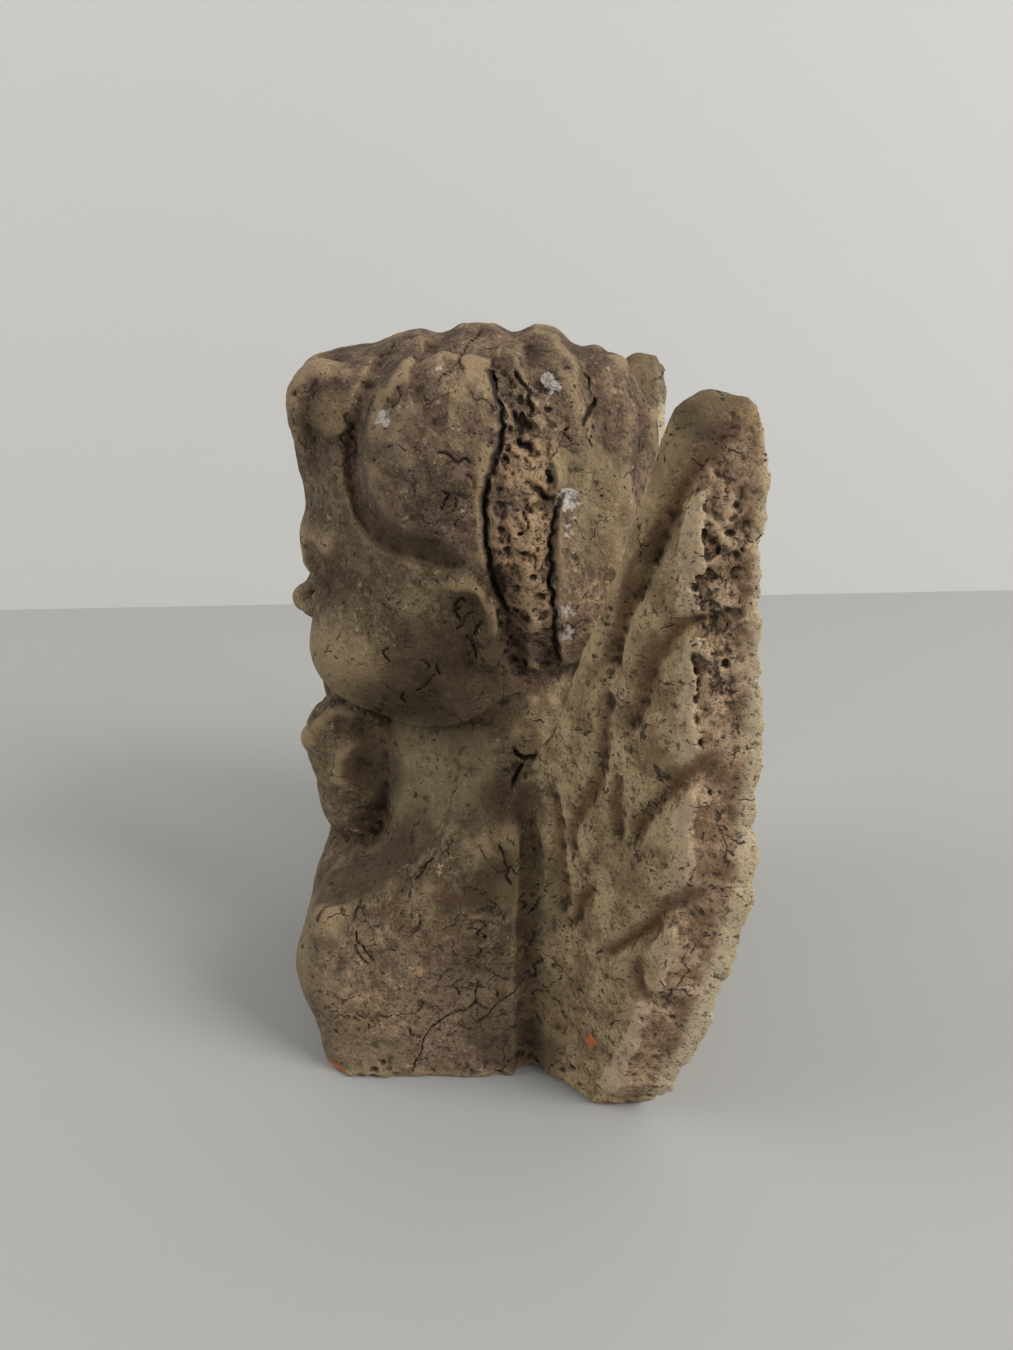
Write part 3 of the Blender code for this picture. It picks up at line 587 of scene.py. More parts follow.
def model_feathers(clay):
    """Each feather swells, its edge lies on the next one, and a thick rim runs along the leading edge."""
    swells = [
        [(83, 162), (76, 148), (71, 132), (68, 116)],
        [(84, 130), (77, 116), (72, 103), (68, 90)],
        [(84, 100), (77, 87), (72, 75), (66, 60)],
        [(83, 70), (77, 58), (70, 45), (65, 34)],
    ]
    rim = [
        (44, 12, 91), (52, 19, 107.5), (60, 26.4, 131), (67.8, 33.8, 154.7), (74, 39.6, 176),
        (78.8, 44, 184.2),
    ]
    for side in (1, -1):
        front, back = WingFace(side, 1), WingFace(side, -1)
        for feather in LONG_FEATHERS:
            line = on_side(side, feather)
            clay.draw(front, line[::side], 1.6, 2.3, 5)
            clay.draw(back, line[:0:-1] if side > 0 else line[1:], 3, 1.5, 6)
        for feather in SHORT_FEATHERS:
            line = on_side(side, feather)
            clay.draw(front, line[::side], 1.5, 1.6, 4)
        for swell in swells:
            clay.draw(front, on_side(side, swell), 9, -1.2)
        clay.add(Roll(on_side(side, rim), [5, 5.2, 4.9, 4.8, 4.9, 4]), 1.6)


def model_back(clay):
    """Shoulder blades on either side of the spine, plainer than the front."""
    for side in (1, -1):
        clay.add(Roll([(side * 12, 17, 74), (side * 21, 19, 64), (side * 24, 17, 46)], [8, 10, 8]), 8)
    clay.draw(BACK, [(0, 102), (0, 80), (0, 50), (0, 24)], 8, 1.4)


# Cracks on the left side, seen from there: the points, the width and the depth
CRACKS = [
    ([(-1.5, 191), (1.8, 183), (2.2, 178), (1.9, 173.9)], 0.8, 1.8),
    ([(2.6, 178), (1.6, 173), (-0.2, 168.4), (-1.8, 163), (-2.4, 157)], 1.1, 2.6),
    ([(-1.8, 161), (-2.6, 155), (-2.2, 150), (-1.6, 146)], 0.8, 2.4),
    ([(-2.6, 149), (-1.4, 144), (-0.8, 140), (2.1, 132)], 1.1, 2.4),
    ([(17.6, 162), (14.5, 157.6), (13.7, 152), (13.4, 146)], 0.9, 2.4),
    ([(14, 149), (13.1, 143), (13.7, 135), (14.2, 128)], 0.8, 2.2),
    ([(13.6, 131), (14.6, 124), (15.1, 116)], 0.9, 2),
    ([(4, 181), (6.5, 177.5), (5.5, 173)], 0.9, 1.6),
    ([(-2.4, 142), (0.5, 136.5), (2.2, 130.5)], 0.8, 1.6),
    ([(24.5, 183), (23.3, 179.3), (21.5, 175.5)], 0.9, 1.8),
    ([(-13, 173.5), (-9, 171), (-4.5, 170.2)], 0.5, 0.8),
    ([(5, 190), (8.5, 184), (9, 178)], 0.8, 1.4),
    ([(3, 175), (7, 172.5), (12, 170.5)], 1.6, 2.4),
    ([(6, 180.5), (8.5, 177.5), (12, 176.5)], 2.1, 3),
    ([(12, 168.5), (13.4, 165), (13, 161)], 1.6, 2.8),
    ([(6.5, 165), (10.5, 162.5), (14.5, 158)], 1.5, 2.2),
    ([(2, 96), (6, 92), (10, 94)], 1.1, 1.8),
    ([(6, 92), (3, 88), (2, 85)], 0.9, 1.5),
    ([(-0.7, 75.3), (0.4, 69.2), (1.5, 62)], 0.6, 1.5),
    ([(0.4, 69.2), (3.5, 66.5), (5.5, 65.5)], 0.4, 0.9),
    ([(-18.5, 69.8), (-21.2, 65.5), (-23.9, 61.7)], 0.4, 0.9),
    ([(-40, 49.3), (-38.6, 45), (-34.5, 40.7)], 0.4, 0.9),
    ([(-8, 34), (-10.6, 25), (-21.4, 17.7), (-27.9, 2)], 0.35, 0.9),
    ([(5.1, 31.9), (-2.4, 26.3), (-9.2, 19.4)], 0.35, 0.9),
]

# The outer edge of a wing as seen from the front: height and distance from the middle
WING_EDGE = [
    (0, 62), (13, 69.5), (40, 77.2), (66, 81.5), (96, 84.5), (115, 85.5), (148, 84.5), (180, 85), (188, 82),
]

# How wide the dark line between two feathers is, and how far a crack's dark edge spreads
SEAM_WIDTH = 1.8
CRACK_SPREAD = 0.15

# The edge of the hair on either side, seen from there: (y, z) in parts
HAIR_AREA = [
    (-70, 212), (-70, 171), (-50, 166), (-36, 166), (-34, 155), (-27, 149.5), (-17, 146), (-8, 144.5),
    (-3, 141.5), (-0.5, 135), (2.2, 128), (2, 122), (4, 115), (9, 110), (20, 110), (34, 112), (60, 120),
    (60, 212),
]

# Stained, salted, paler, bare and rusty places as balls: the middle and the radius in parts, and the
# strength. Some stains are painted shade, and a rusty ball is partly a painted highlight
SPOTS = {
    "stain_and_shade": [
        ((37, -32, 104), 12, 0.9), ((38, -18, 107), 15, 1), ((40, -5, 112), 14, 1), ((42, 3, 119), 9, 0.9),
        ((38, -18, 117), 13, 0.8), ((41, -7, 132), 6, 0.8), ((21, -37, 82), 9, 1), ((12, -46, 88), 7, 0.6),
        # The first three balls here, and (-44, -40, 62) below, lie in the hollow above each arm's crest and
        # are painted shade
        ((37, -42, 60), 10, 1), ((36, -34, 66), 9, 0.9), ((36, -26, 72), 7, 0.7), ((43, 2, 98), 9, 0.5),
        ((46, -48, 44), 5, 0.6), ((36, -48, 52), 8, 0.8), ((38, -34, 152), 12, 0.5),
        ((36, -30, 141), 8, 0.4), ((44, 0, 84), 8, 0.8), ((45, -8, 79), 5, 0.6), ((52, 3, 10), 10, 1),
        ((50, 8, 30), 7, 0.5), ((50, 7, 50), 8, 0.5), ((-38, -16, 104), 13, 0.9), ((-44, -40, 62), 8, 1),
        ((-43, 2, 98), 9, 0.6), ((-52, 3, 10), 9, 0.8), ((0, 27, 112), 20, 0.8), ((0, 26, 60), 16, 0.3),
        ((20, -48, 172), 9, 0.5), ((36, -33, 172), 6, 0.6), ((36, -26, 150), 6, 0.8),
        ((-80, 42, 184), 18, 0.9), ((52, -3, 15), 10, 0.8), ((82, 42, 189), 10, 0.9),
        ((34, -42, 182), 10, 0.7), ((38, -18, 150), 5, 1), ((38.5, -11, 146), 4, 0.8),
        ((0, -47, 106), 7, 0.5), ((-28, -56, 42), 9, 0.4), ((0, -52, 60), 8, 0.4),
    ],
    "pale": [
        ((37, 17.8, 160), 3, 0.75), ((37.2, 17.6, 153), 3, 0.8), ((37.5, 17, 147), 3, 0.75),
        ((37.6, 16.8, 140), 3, 0.8), ((38, 16.8, 133), 3, 0.7), ((38, 17, 126), 3, 0.6),
        ((25.7, 14.6, 185.2), 2, 1), ((24.2, 13.2, 187.2), 1.6, 1), ((35.2, -12.1, 190.7), 1, 1),
        ((38, -25.5, 180.5), 2.4, 0.7), ((42, 8, 168), 4, 0.3), ((84, 42, 160), 4, 0.3),
    ],
    "paler_patch": [
        ((26, -24, 84), 15, 1), ((34, -12, 88), 12, 0.9), ((8, -52, 76), 10, 0.6), ((20, -46, 112), 12, 0.5),
        ((30, -38, 128), 10, 0.5), ((-26, -24, 84), 15, 0.8), ((-34, -12, 88), 12, 0.8),
        ((-20, -46, 112), 12, 0.5), ((0, -46, 150), 16, 0.5), ((36, 24, 164), 10, 1), ((35, 26, 150), 8, 1),
        ((36, -56, 36), 14, 0.9), ((46, -44, 28), 10, 0.7), ((46, -40, 8), 12, 0.7),
        ((40, -26, 176), 8, 0.5), ((52, 8, 60), 10, 0.7), ((54, 10, 30), 8, 0.6),
    ],
    "bare": [
        ((61.8, 22, 21.7), 2.1, 1), ((47, -40, 20), 1.2, 0.9), ((62, 26, 0), 4, 0.9),
        ((72, 33, 14), 2.4, 0.8), ((48, -50, 1), 4, 0.8), ((30, -56, 1), 3.4, 0.7), ((20, -54, 0), 4, 0.6),
        ((84, 46, 176), 2, 0.5), ((-60, 24, 2), 4, 0.9), ((-84, 44, 140), 2.5, 0.7), ((-45, -46, 3), 4, 0.8),
        ((0, 27, 2), 5, 0.7),
    ],
    "rust_and_highlight": [
        ((37, 9, 168), 8, 0.8), ((38.5, 8, 150), 9, 0.9), ((39, 8, 134), 8, 0.8), ((38, 26, 150), 12, 0.5),
        ((38, 24, 130), 12, 0.6), ((85, 43, 140), 7, 0.5), ((84, 44, 110), 6, 0.4),
        # The first ball here, on the lower trunk, is partly a painted highlight
        ((52, -38, 26), 13, 0.55), ((55, -24, 38.6), 2, 1), ((83.6, 47.2, 182), 4, 1),
    ],
}

# Colours as seen on a screen, 0 to 255. A surface with two goes from one to the other in blotches
BODY_PATINA = (86, 68, 46), (124, 107, 80)
HAIR_PATINA = (80, 63, 48), (120, 99, 79)
WING_PATINA = (134, 112, 80), (180, 158, 120)
CUT_CLAY = (128, 100, 74), (194, 166, 134)
LOW_BODY_HIGHLIGHT = (136, 114, 92)
RUST_AND_HIGHLIGHT = (180, 148, 114)
SMUDGE = (66, 50, 33)
CRUMB = (190, 170, 134)
DARK_SPECK = (54, 41, 29)
DARK_GRAIN = (52, 40, 30)
PALE_GRAIN = (190, 168, 136)
CREST_HIGHLIGHT = (178, 154, 116)
FRONT_ARRIS_HIGHLIGHT = (206, 184, 152)
BACK_ARRIS_HIGHLIGHT = (204, 188, 156)
SOIL = (82, 61, 40)
WING_SOIL = (100, 72, 46)
PALER_OLIVE = (142, 126, 94)
STAIN_AND_SHADE = (72, 55, 37)
PIT_SHADE = (58, 43, 31)
SMALL_MARK = (50, 38, 28)
DEEP_MARK = (38, 28, 22)
SALT = (184, 176, 168)
BARE_CLAY = (198, 112, 62)
TABLE_PAINT = (151, 151, 149)
WALL_PAINT = (182, 182, 180)

# The room, in metres
TABLE_FRONT = 3
WALL_BACK = -0.44
WALL_HEIGHT = 2
ROOM_SIDE = 3

# The camera: its place from the middle of the foot in metres, its turns in degrees, and its lens, which is
# given by the focal length and the height of the picture in pixels and the sensor's height in millimetres
CAMERA_PLACE = (0.280, 0.0122, 0.204)
CAMERA_YAW, CAMERA_PITCH, CAMERA_ROLL = -2.5, 20, -1.8
FOCAL_PIXELS = 1014
IMAGE_HEIGHT = 1350
SENSOR_HEIGHT = 36

# How many cells of random values there are along each side before they repeat
LATTICE = 64


def soft_noise(places, size, seed):
    """Smooth random values from -1 to 1, with blobs about as wide as size."""
    lattice = np.random.default_rng(seed).uniform(-1, 1, [LATTICE] * 3)
    corners, shares = [], []
    x, y, z = places
    turned = 0.36 * x + 0.48 * y - 0.8 * z, -0.8 * x + 0.6 * y, 0.48 * x + 0.64 * y + 0.6 * z
    for place in turned:
        place = place / size + 1000
        corners.append(np.floor(place).astype(int))
        shares.append(smooth_step(place - corners[-1]))
    total = 0
    for corner in np.ndindex(2, 2, 2):
        share = np.prod([part if up else 1 - part for part, up in zip(shares, corner)], axis=0)
        total = total + share * lattice[tuple((whole + up) % LATTICE for whole, up in zip(corners, corner))]
    return total


def wear(clay, low, high, where, size, depth, seed, sharp=1, level=0):
    """Wears the surface away in patches in a box, and where says how strongly at each place.

    A sharp patch has a steep edge, like a flake that has come off, and a higher level leaves fewer patches.
    """
    stretch, axes = clay.window(np.array(low) * PART, np.array(high) * PART)
    here = clay.field[stretch]
    near = np.nonzero(np.abs(here) < 2 * PART)
    places = [axis.ravel()[index] / PART for axis, index in zip(axes, near)]
    share = smooth_step(0.5 + sharp * (soft_noise(places, size, seed) - level))
    here[near] += depth * PART * share * where(*places)


def pit(clay, low, high, where, count, sizes, seed):
    """Presses small holes into the surface at random places in a box."""
    rng = np.random.default_rng(seed)
    stretch, (x, y, z) = clay.window(np.array(low) * PART, np.array(high) * PART)
    here = clay.field[stretch].copy()
    share = np.broadcast_to(where(x / PART, y / PART, z / PART), here.shape)
    likely = np.flatnonzero((np.abs(here) < clay.step / 2) & (share > rng.random(here.shape)))
    chosen = rng.choice(likely, size=min(count, len(likely)), replace=False)
    for index in zip(*np.unravel_index(np.sort(chosen), here.shape)):
        around = tuple(slice(max(one - 1, 0), one + 2) for one in index)
        outward = np.array([np.diff(here[around], axis=axis).mean() for axis in range(3)])
        outward /= np.linalg.norm(outward) + 1e-9
        size = rng.uniform(*sizes)
        place = np.array([x.flat[index[0]], y.flat[index[1]], z.flat[index[2]]]) / PART
        clay.cut(Ball(place + outward * size * rng.uniform(0.2, 0.7), size * rng.uniform(0.7, 1.5, 3)), 0.3)


def wandering_cracks():
    """The cracks with more points, each moved a little aside, and their widths and depths."""
    rng = np.random.default_rng(7)
    aside = 0.6
    cracks = []
    for points, width, depth in CRACKS:
        line = curve_through(points, 4)
        line[1:-1] += rng.uniform(-aside, aside, (len(line) - 2, 2))
        cracks.append((line, width, depth))
    return cracks


def hairlines(clay, view, low, high, count, seed):
    """Short cracks that run at random, mostly upright, in a stretch of one side."""
    rng = np.random.default_rng(seed)
    for start in rng.uniform(low, high, (count, 2)):
        steps = rng.uniform((-2.6, 0.6), (2.6, 3.2), (rng.integers(2, 5), 2))
        line = start + np.vstack([(0, 0), np.cumsum(steps, axis=0)])
        clay.draw(view, line, rng.uniform(0.35, 0.55), rng.uniform(0.6, 1.3))


def behind_front(x, y):
    """How far a place lies behind the front of either wing, in parts."""
    return behind_wing(1, np.abs(x) * PART, y * PART) / PART


def past_edge(x, z):
    """How far a place lies beyond the outer edge of either wing, in parts."""
    return np.abs(x) - np.interp(z.ravel(), *np.transpose(WING_EDGE)).reshape(z.shape)


def worn_strip(x, y, z):
    """The strip of hair between the two long cracks."""
    across = rise(y, -1.5, 2.5) * fall(y, 16, 3)
    return rise(x, 20, 6) * across * rise(z, 112, 6) * fall(z, 192, 8)


def wing_end(x, y, z):
    """The cut end of each wing."""
    behind = behind_front(x, y)
    across = rise(behind, 0.2, 1.2) * fall(behind, 9, 2)
    near = rise(past_edge(x, z), -4.5, 1.5)
    return near * rise(z, 6, 10) * fall(z, 186, 4) * across


def rough_end(x, y, z):
    """The middle of the cut end, mostly in its upper half, which is full of holes."""
    behind = behind_front(x, y)
    middle = rise(behind, 0.6, 1.2) * fall(behind, 7.2, 1.2)
    upper = 0.2 + 0.8 * rise(z, 118, 12) * fall(z, 178, 6)
    return wing_end(x, y, z) * middle * upper


def upper_hair(x, y, z):
    return rise(z, 140, 20)


def trunk(x, y, z):
    return fall(z, 96, 20)


def foot(x, y, z):
    return fall(z, 10, 6)


def uneven(x, y, z):
    """Everywhere, and less on the face."""
    return 1 - 0.75 * fall(y, -24, 10) * rise(z, 96, 8) * fall(z, 166, 8)


def wear_body(clay):
    """Uneven everywhere, in blobs of three sizes, and ragged at the foot."""
    for size, depth, seed in ((8, 0.5, 31), (3.2, 0.25, 32), (1.5, 0.14, 33)):
        wear(clay, *GRID, uneven, size, depth, seed)
    wear(clay, (-90, -66, 0), (90, 60, 14), foot, size=4, depth=0.8, seed=36, sharp=3, level=0.1)


def crack_clay(clay):
    """The long cracks and the fine ones, most of them on the left side."""
    for line, width, depth in wandering_cracks():
        clay.draw(LEFT, line, width, depth)
    for view, low, high, count, seed in (
        (LEFT, (-52, 12), (8, 70), 24, 21),
        (LEFT, (-40, 150), (34, 190), 16, 22),
        (LEFT, (-30, 100), (4, 140), 10, 23),
        (RIGHT, (-52, 12), (8, 70), 14, 24),
        (FRONT, (-48, 8), (48, 60), 14, 25),
    ):
        hairlines(clay, view, low, high, count, seed)


def wear_strip_and_ends(clay):
    """The strip between the long cracks has flaked, and the wings' cut ends are full of holes."""
    strip = (18, -6, 108), (48, 22, 200), worn_strip
    wear(clay, *strip, size=4.5, depth=0.8, seed=1, sharp=2)
    wear(clay, *strip, size=2.2, depth=1.1, seed=2, sharp=4, level=0.3)
    for low, high, seed in (((58, 8, 0), (92, 64, 192), 3), ((-92, 8, 0), (-58, 64, 192), 4)):
        wear(clay, low, high, wing_end, size=9, depth=0.6, seed=seed, sharp=1.5)
        wear(clay, low, high, rough_end, size=3.4, depth=1.1, seed=seed + 2, sharp=3, level=0.15)
        wear(clay, low, high, rough_end, size=1.8, depth=0.7, seed=seed + 4, sharp=4, level=0.3)
        pit(clay, low, high, rough_end, count=130, sizes=(0.35, 0.9), seed=seed + 10)
    pit(clay, *strip, count=110, sizes=(0.35, 0.95), seed=11)


def pit_body(clay):
    pit(clay, (-48, -60, 140), (48, 45, 204), upper_hair, count=200, sizes=(0.25, 0.6), seed=14)
    pit(clay, (-60, -66, 2), (60, 36, 70), trunk, count=260, sizes=(0.25, 0.65), seed=15)
    pit(clay, (-66, -66, 0), (66, 44, 10), foot, count=130, sizes=(0.5, 1.6), seed=16)


def spread(places, spots):
    """How strongly each place lies in any of the spots."""
    strength = np.zeros(len(places))
    for center, radius, amount in spots:
        away = np.linalg.norm(places - np.array(center), axis=1) / radius
        strength = np.maximum(strength, amount * smooth_step(1.6 - away))
    return strength


def polygons(clay):
    """The surface of the clay: its points, and faces of four corners, in an order that stays the same."""
    grid = openvdb.FloatGrid(1.0)
    grid.copyFromArray(np.clip(clay.field / clay.step, -4, 4))
    points, _, quads = grid.convertToPolygons(0.0, 0.0)
    points = points * clay.step + np.array([axis[0] for axis in clay.axes])
    order = np.lexsort(np.round(points, 7).T)
    rank = np.empty(len(order), np.int64)
    rank[order] = np.arange(len(order))
    quads = rank[quads]
    turn = (quads.argmin(axis=1)[:, None] + np.arange(4)) % 4
    quads = np.take_along_axis(quads, turn, axis=1)
    return points[order], quads[np.lexsort(quads.T[::-1])]


def add_object(name, data):
    obj = bpy.data.objects.new(name, data)
    bpy.context.scene.collection.objects.link(obj)
    return obj


def mesh_of(name, points, faces):
    mesh = bpy.data.meshes.new(name)
    corners = faces.shape[1]
    mesh.vertices.add(len(points))
    mesh.vertices.foreach_set("co", points.astype(np.float32).ravel())
    mesh.loops.add(faces.size)
    mesh.loops.foreach_set("vertex_index", faces.astype(np.int32).ravel())
    mesh.polygons.add(len(faces))
    mesh.polygons.foreach_set("loop_start", np.arange(0, faces.size, corners, dtype=np.int32))
    mesh.update(calc_edges=True)
    return mesh


def thin_out(obj, triangles):
    """Keeps about as many triangles as are wanted, most of them where the surface curves."""
    thinner = obj.modifiers.new("thinner", "DECIMATE")
    thinner.ratio = triangles / (2 * len(obj.data.polygons))
    thinner.use_collapse_triangulate = True
    graph = bpy.context.evaluated_depsgraph_get()
    mesh = bpy.data.meshes.new_from_object(obj.evaluated_get(graph))
    obj.modifiers.clear()
    obj.data = mesh


def read(mesh):
    """The points and the triangles of a mesh."""
    points = np.empty(len(mesh.vertices) * 3, np.float32)
    mesh.vertices.foreach_get("co", points)
    faces = np.empty(len(mesh.loops), np.int32)
    mesh.loops.foreach_get("vertex_index", faces)
    return points.reshape(-1, 3).astype(float), faces.reshape(-1, 3)


def largest_body(points, faces):
    """Drops the crumbs and bubbles that deep marks leave."""
    label = np.arange(len(points))
    while True:
        least = label.copy()
        lowest = label[faces].min(axis=1)
        for corner in range(3):
            np.minimum.at(least, faces[:, corner], lowest)
        least = least[least]
        if (least == label).all():
            break
        label = least
    kept = label == np.bincount(label).argmax()
    place = np.cumsum(kept) - 1
    return points[kept], place[faces[kept[faces[:, 0]]]]


def normals(points, faces):
    """The direction out of the surface at each point."""
    along = points[faces[:, 1]] - points[faces[:, 0]]
    aside = points[faces[:, 2]] - points[faces[:, 0]]
    cross = np.cross(along, aside)
    out = np.zeros_like(points)
    for corner in range(3):
        for column in range(3):
            out[:, column] += np.bincount(faces[:, corner], cross[:, column], len(points))
    return out / (np.linalg.norm(out, axis=1)[:, None] + 1e-12)


def neighbours_mean(values, ends, count):
    total = np.zeros_like(values)
    for column in range(values.shape[1]):
        total[:, column] = np.bincount(ends[:, 0], values[ends[:, 1], column], len(values))
    return total / count[:, None]


def hollows(points, faces, rounds):
    """How far each point lies below the smoothed surface, in parts, after several rounds of smoothing."""
    ends = np.concatenate([faces[:, [0, 1]], faces[:, [1, 2]], faces[:, [2, 0]]])
    ends = np.concatenate([ends, ends[:, ::-1]])
    count = np.bincount(ends[:, 0], minlength=len(points))
    out = normals(points, faces)
    smooth = points.copy()
    depths = []
    for number in range(max(rounds)):
        smooth = 0.4 * smooth + 0.6 * neighbours_mean(smooth, ends, count)
        if number + 1 in rounds:
            depths.append(((smooth - points) * out).sum(axis=1) / PART)
    return depths


def drawn(places, view, line, width):
    """How near each place is to a line that is drawn on one side, from 0 to 1."""
    first, second = plane_of(view)
    places = places * PART
    line = curve_through(line) * PART
    width = width * PART
    near = line_profile(places[:, first], places[:, second], line, width, width)
    return near * view.takes(*places.T)


def seam_lines(places):
    """How near each place is to a line between two feathers."""
    near = np.zeros(len(places))
    for side in (1, -1):
        for feather in LONG_FEATHERS + SHORT_FEATHERS:
            line = on_side(side, feather)
            near = np.maximum(near, drawn(places, WingFace(side, 1), line, SEAM_WIDTH))
    return near


def crack_lines(places):
    near = np.zeros(len(places))
    for line, width, _ in wandering_cracks():
        near = np.maximum(near, drawn(places, LEFT, line, width + CRACK_SPREAD))
    return near


def paint(mesh, places, fine, broad):
    """Writes where each kind of surface lies into the mesh, for the material to read."""
    x, y, z = places.T
    behind = behind_front(x, y)
    outer = rise(past_edge(x, z), -6, 2) * rise(z, 4, 6)
    kinds = {
        "hair": is_inside(y, z, HAIR_AREA) & (z > 108),
        "wing": rise(np.abs(x), 47, 4) * rise(y, 4, 5),
        "end": wing_end(x, y, z),
        "rough": rough_end(x, y, z),
        "front_arris": outer * smooth_step(1.5 - np.abs(behind - 0.7)) * fall(z, 176, 6),
        "back_arris": outer * rise(behind, 7, 1.5),
        "seam": seam_lines(places),
        "crack": crack_lines(places),
        "groove": smooth_step(fine / 0.16 - 0.25),
        "hollow": rise(broad, -0.1, 0.6),
        "crest": fall(broad, -0.35, 0.6),
    }
    for name, spots in SPOTS.items():
        kinds[name] = spread(places, spots)
    for name, values in kinds.items():
        layer = mesh.attributes.new(name, "FLOAT", "POINT")
        layer.data.foreach_set("value", np.clip(values, 0, 1).astype(np.float32))


def middle_of(clay):
    """The middle of the box round the clay, across and along."""
    middle = []
    for axis in (0, 1):
        least = clay.field.min(axis=(1 - axis, 2))
        inner = np.flatnonzero(least < 0)[[0, -1]]
        outer = inner + (-1, 1)
        share = least[inner] / (least[inner] - least[outer])
        ends = clay.axes[axis][inner] * (1 - share) + clay.axes[axis][outer] * share
        middle.append(ends.mean())
    return np.array(middle)


def model_figure():
    """The whole figure in clay, and the middle of its box before it is worn. Fine forms use a finer grid."""
    clay = Clay(*GRID, PART)
    for model in (model_bust, model_head, model_hair, model_arms):
        model(clay)
    clay.finer()
    for model in (
        model_wings, model_face, model_jaw, model_ears, model_locks, model_hands, model_feathers, model_back,
    ):
        model(clay)
    middle = middle_of(clay)
    for mark in (wear_body, crack_clay, wear_strip_and_ends, pit_body):
        mark(clay)
    clay.flatten_base()
    return clay, middle


def build_piece(box):
    """The carved figure in the place of the solid, inside its box, and how far it was moved there."""
    name = "angel_bust_carved"
    clay, middle = model_figure()
    obj = add_object(name, mesh_of(name, *polygons(clay)))
    thin_out(obj, PIECE_TRIANGLES)
    points, faces = largest_body(*read(obj.data))
    fine, broad = hollows(points, faces, (2, 24))
    low, high = np.array(box)
    shift = np.append((low + high)[:2] / 2 - middle, low[2] - BASE_LEVEL)
    mesh = mesh_of(name, np.clip(points + shift, low, high), faces)
    mesh.polygons.foreach_set("use_smooth", np.ones(len(faces), bool))
    obj.data = mesh
    paint(mesh, points / PART, fine, broad)
    return obj, shift


def shade(red, green, blue):
    """A colour as seen on a screen, 0 to 255, as the shader takes it."""
    parts = [value / 255 for value in (red, green, blue)]
    return [value / 12.92 if value <= 0.04045 else ((value + 0.055) / 1.055) ** 2.4 for value in parts] + [1]


class Patina:
    """Coats of colour, one over the other, and short calls for the nodes. Scales are per millimetre."""

    def __init__(self, tree):
        self.tree = tree
        coordinates = self.make("ShaderNodeTexCoord").outputs["Object"]
        to_millimetres = {0: coordinates, "Scale": 1000.0}
        self.place = self.make("ShaderNodeVectorMath", to_millimetres, operation="SCALE").outputs[0]
        stir = self.make("ShaderNodeTexNoise", {"Vector": self.place, "Scale": 0.3, "Detail": 3.0}).outputs[1]
        stirred = {0: stir, 1: (5, 5, 5), 2: self.place}
        self.warped = self.make("ShaderNodeVectorMath", stirred, operation="MULTIPLY_ADD").outputs[0]
        self.blotch = self.noise(self.warped, 0.11, 5, 0.6)
        self.smudge = self.noise(self.warped, 0.24, 5, 0.65)
        self.speck = self.noise(self.place, 0.5, 6, 0.7)
        self.grain = self.noise(self.place, 1.3, 4, 0.7)
        self.color = None

    def fill(self, socket, value):
        """Links a socket to an output, or sets it to a value."""
        if hasattr(value, "is_output"):
            self.tree.links.new(value, socket)
        else:
            socket.default_value = value

    def make(self, kind, values=(), **settings):
        node = self.tree.nodes.new(kind)
        for name, value in settings.items():
            setattr(node, name, value)
        for name, value in dict(values).items():
            self.fill(node.inputs[name], value)
        return node

    def math(self, operation, a, b):
        return self.make("ShaderNodeMath", {0: a, 1: b}, operation=operation).outputs[0]

    def times(self, a, b):
        return self.math("MULTIPLY", a, b)

    def most(self, a, b):
        return self.math("MAXIMUM", a, b)

    def noise(self, place, scale, detail, rough=0.55):
        values = {"Vector": place, "Scale": scale, "Detail": detail, "Roughness": rough}
        return self.make("ShaderNodeTexNoise", values).outputs[0]

    def cells(self, place, scale, feature="F1"):
        """The distance to the nearest of many scattered points, or to the edge between their cells."""
        values = {"Vector": place, "Scale": scale}
        return self.make("ShaderNodeTexVoronoi", values, feature=feature).outputs["Distance"]

    def ramp(self, value, low, high):
        """Rises smoothly from 0 at low to 1 at high, and low may be the greater."""
        values = {"Value": value, "From Min": low, "From Max": high}
        return self.make("ShaderNodeMapRange", values, interpolation_type="SMOOTHSTEP").outputs[0]

    def mix(self, share, a, b):
        return self.make("ShaderNodeMix", {0: share, 6: a, 7: b}, data_type="RGBA").outputs[2]

    def kind(self, name):
        """Where one kind of surface lies, as paint() wrote it."""
        return self.make("ShaderNodeAttribute", attribute_name=name).outputs["Fac"]

    def ragged(self, strength, amount, low, high, texture):
        """The strength with its edge broken up by a texture."""
        broken = self.times(self.math("SUBTRACT", texture, 0.5), amount)
        return self.ramp(self.math("ADD", strength, broken), low, high)

    def blotched(self, colors, low, high):
        dark, light = colors
        return self.mix(self.ramp(self.blotch, low, high), shade(*dark), shade(*light))

    def coat(self, strength, share, color):
        """Lays a colour on where the strength says, and nowhere thicker than the share."""
        self.color = self.mix(self.times(strength, share), self.color, shade(*color))


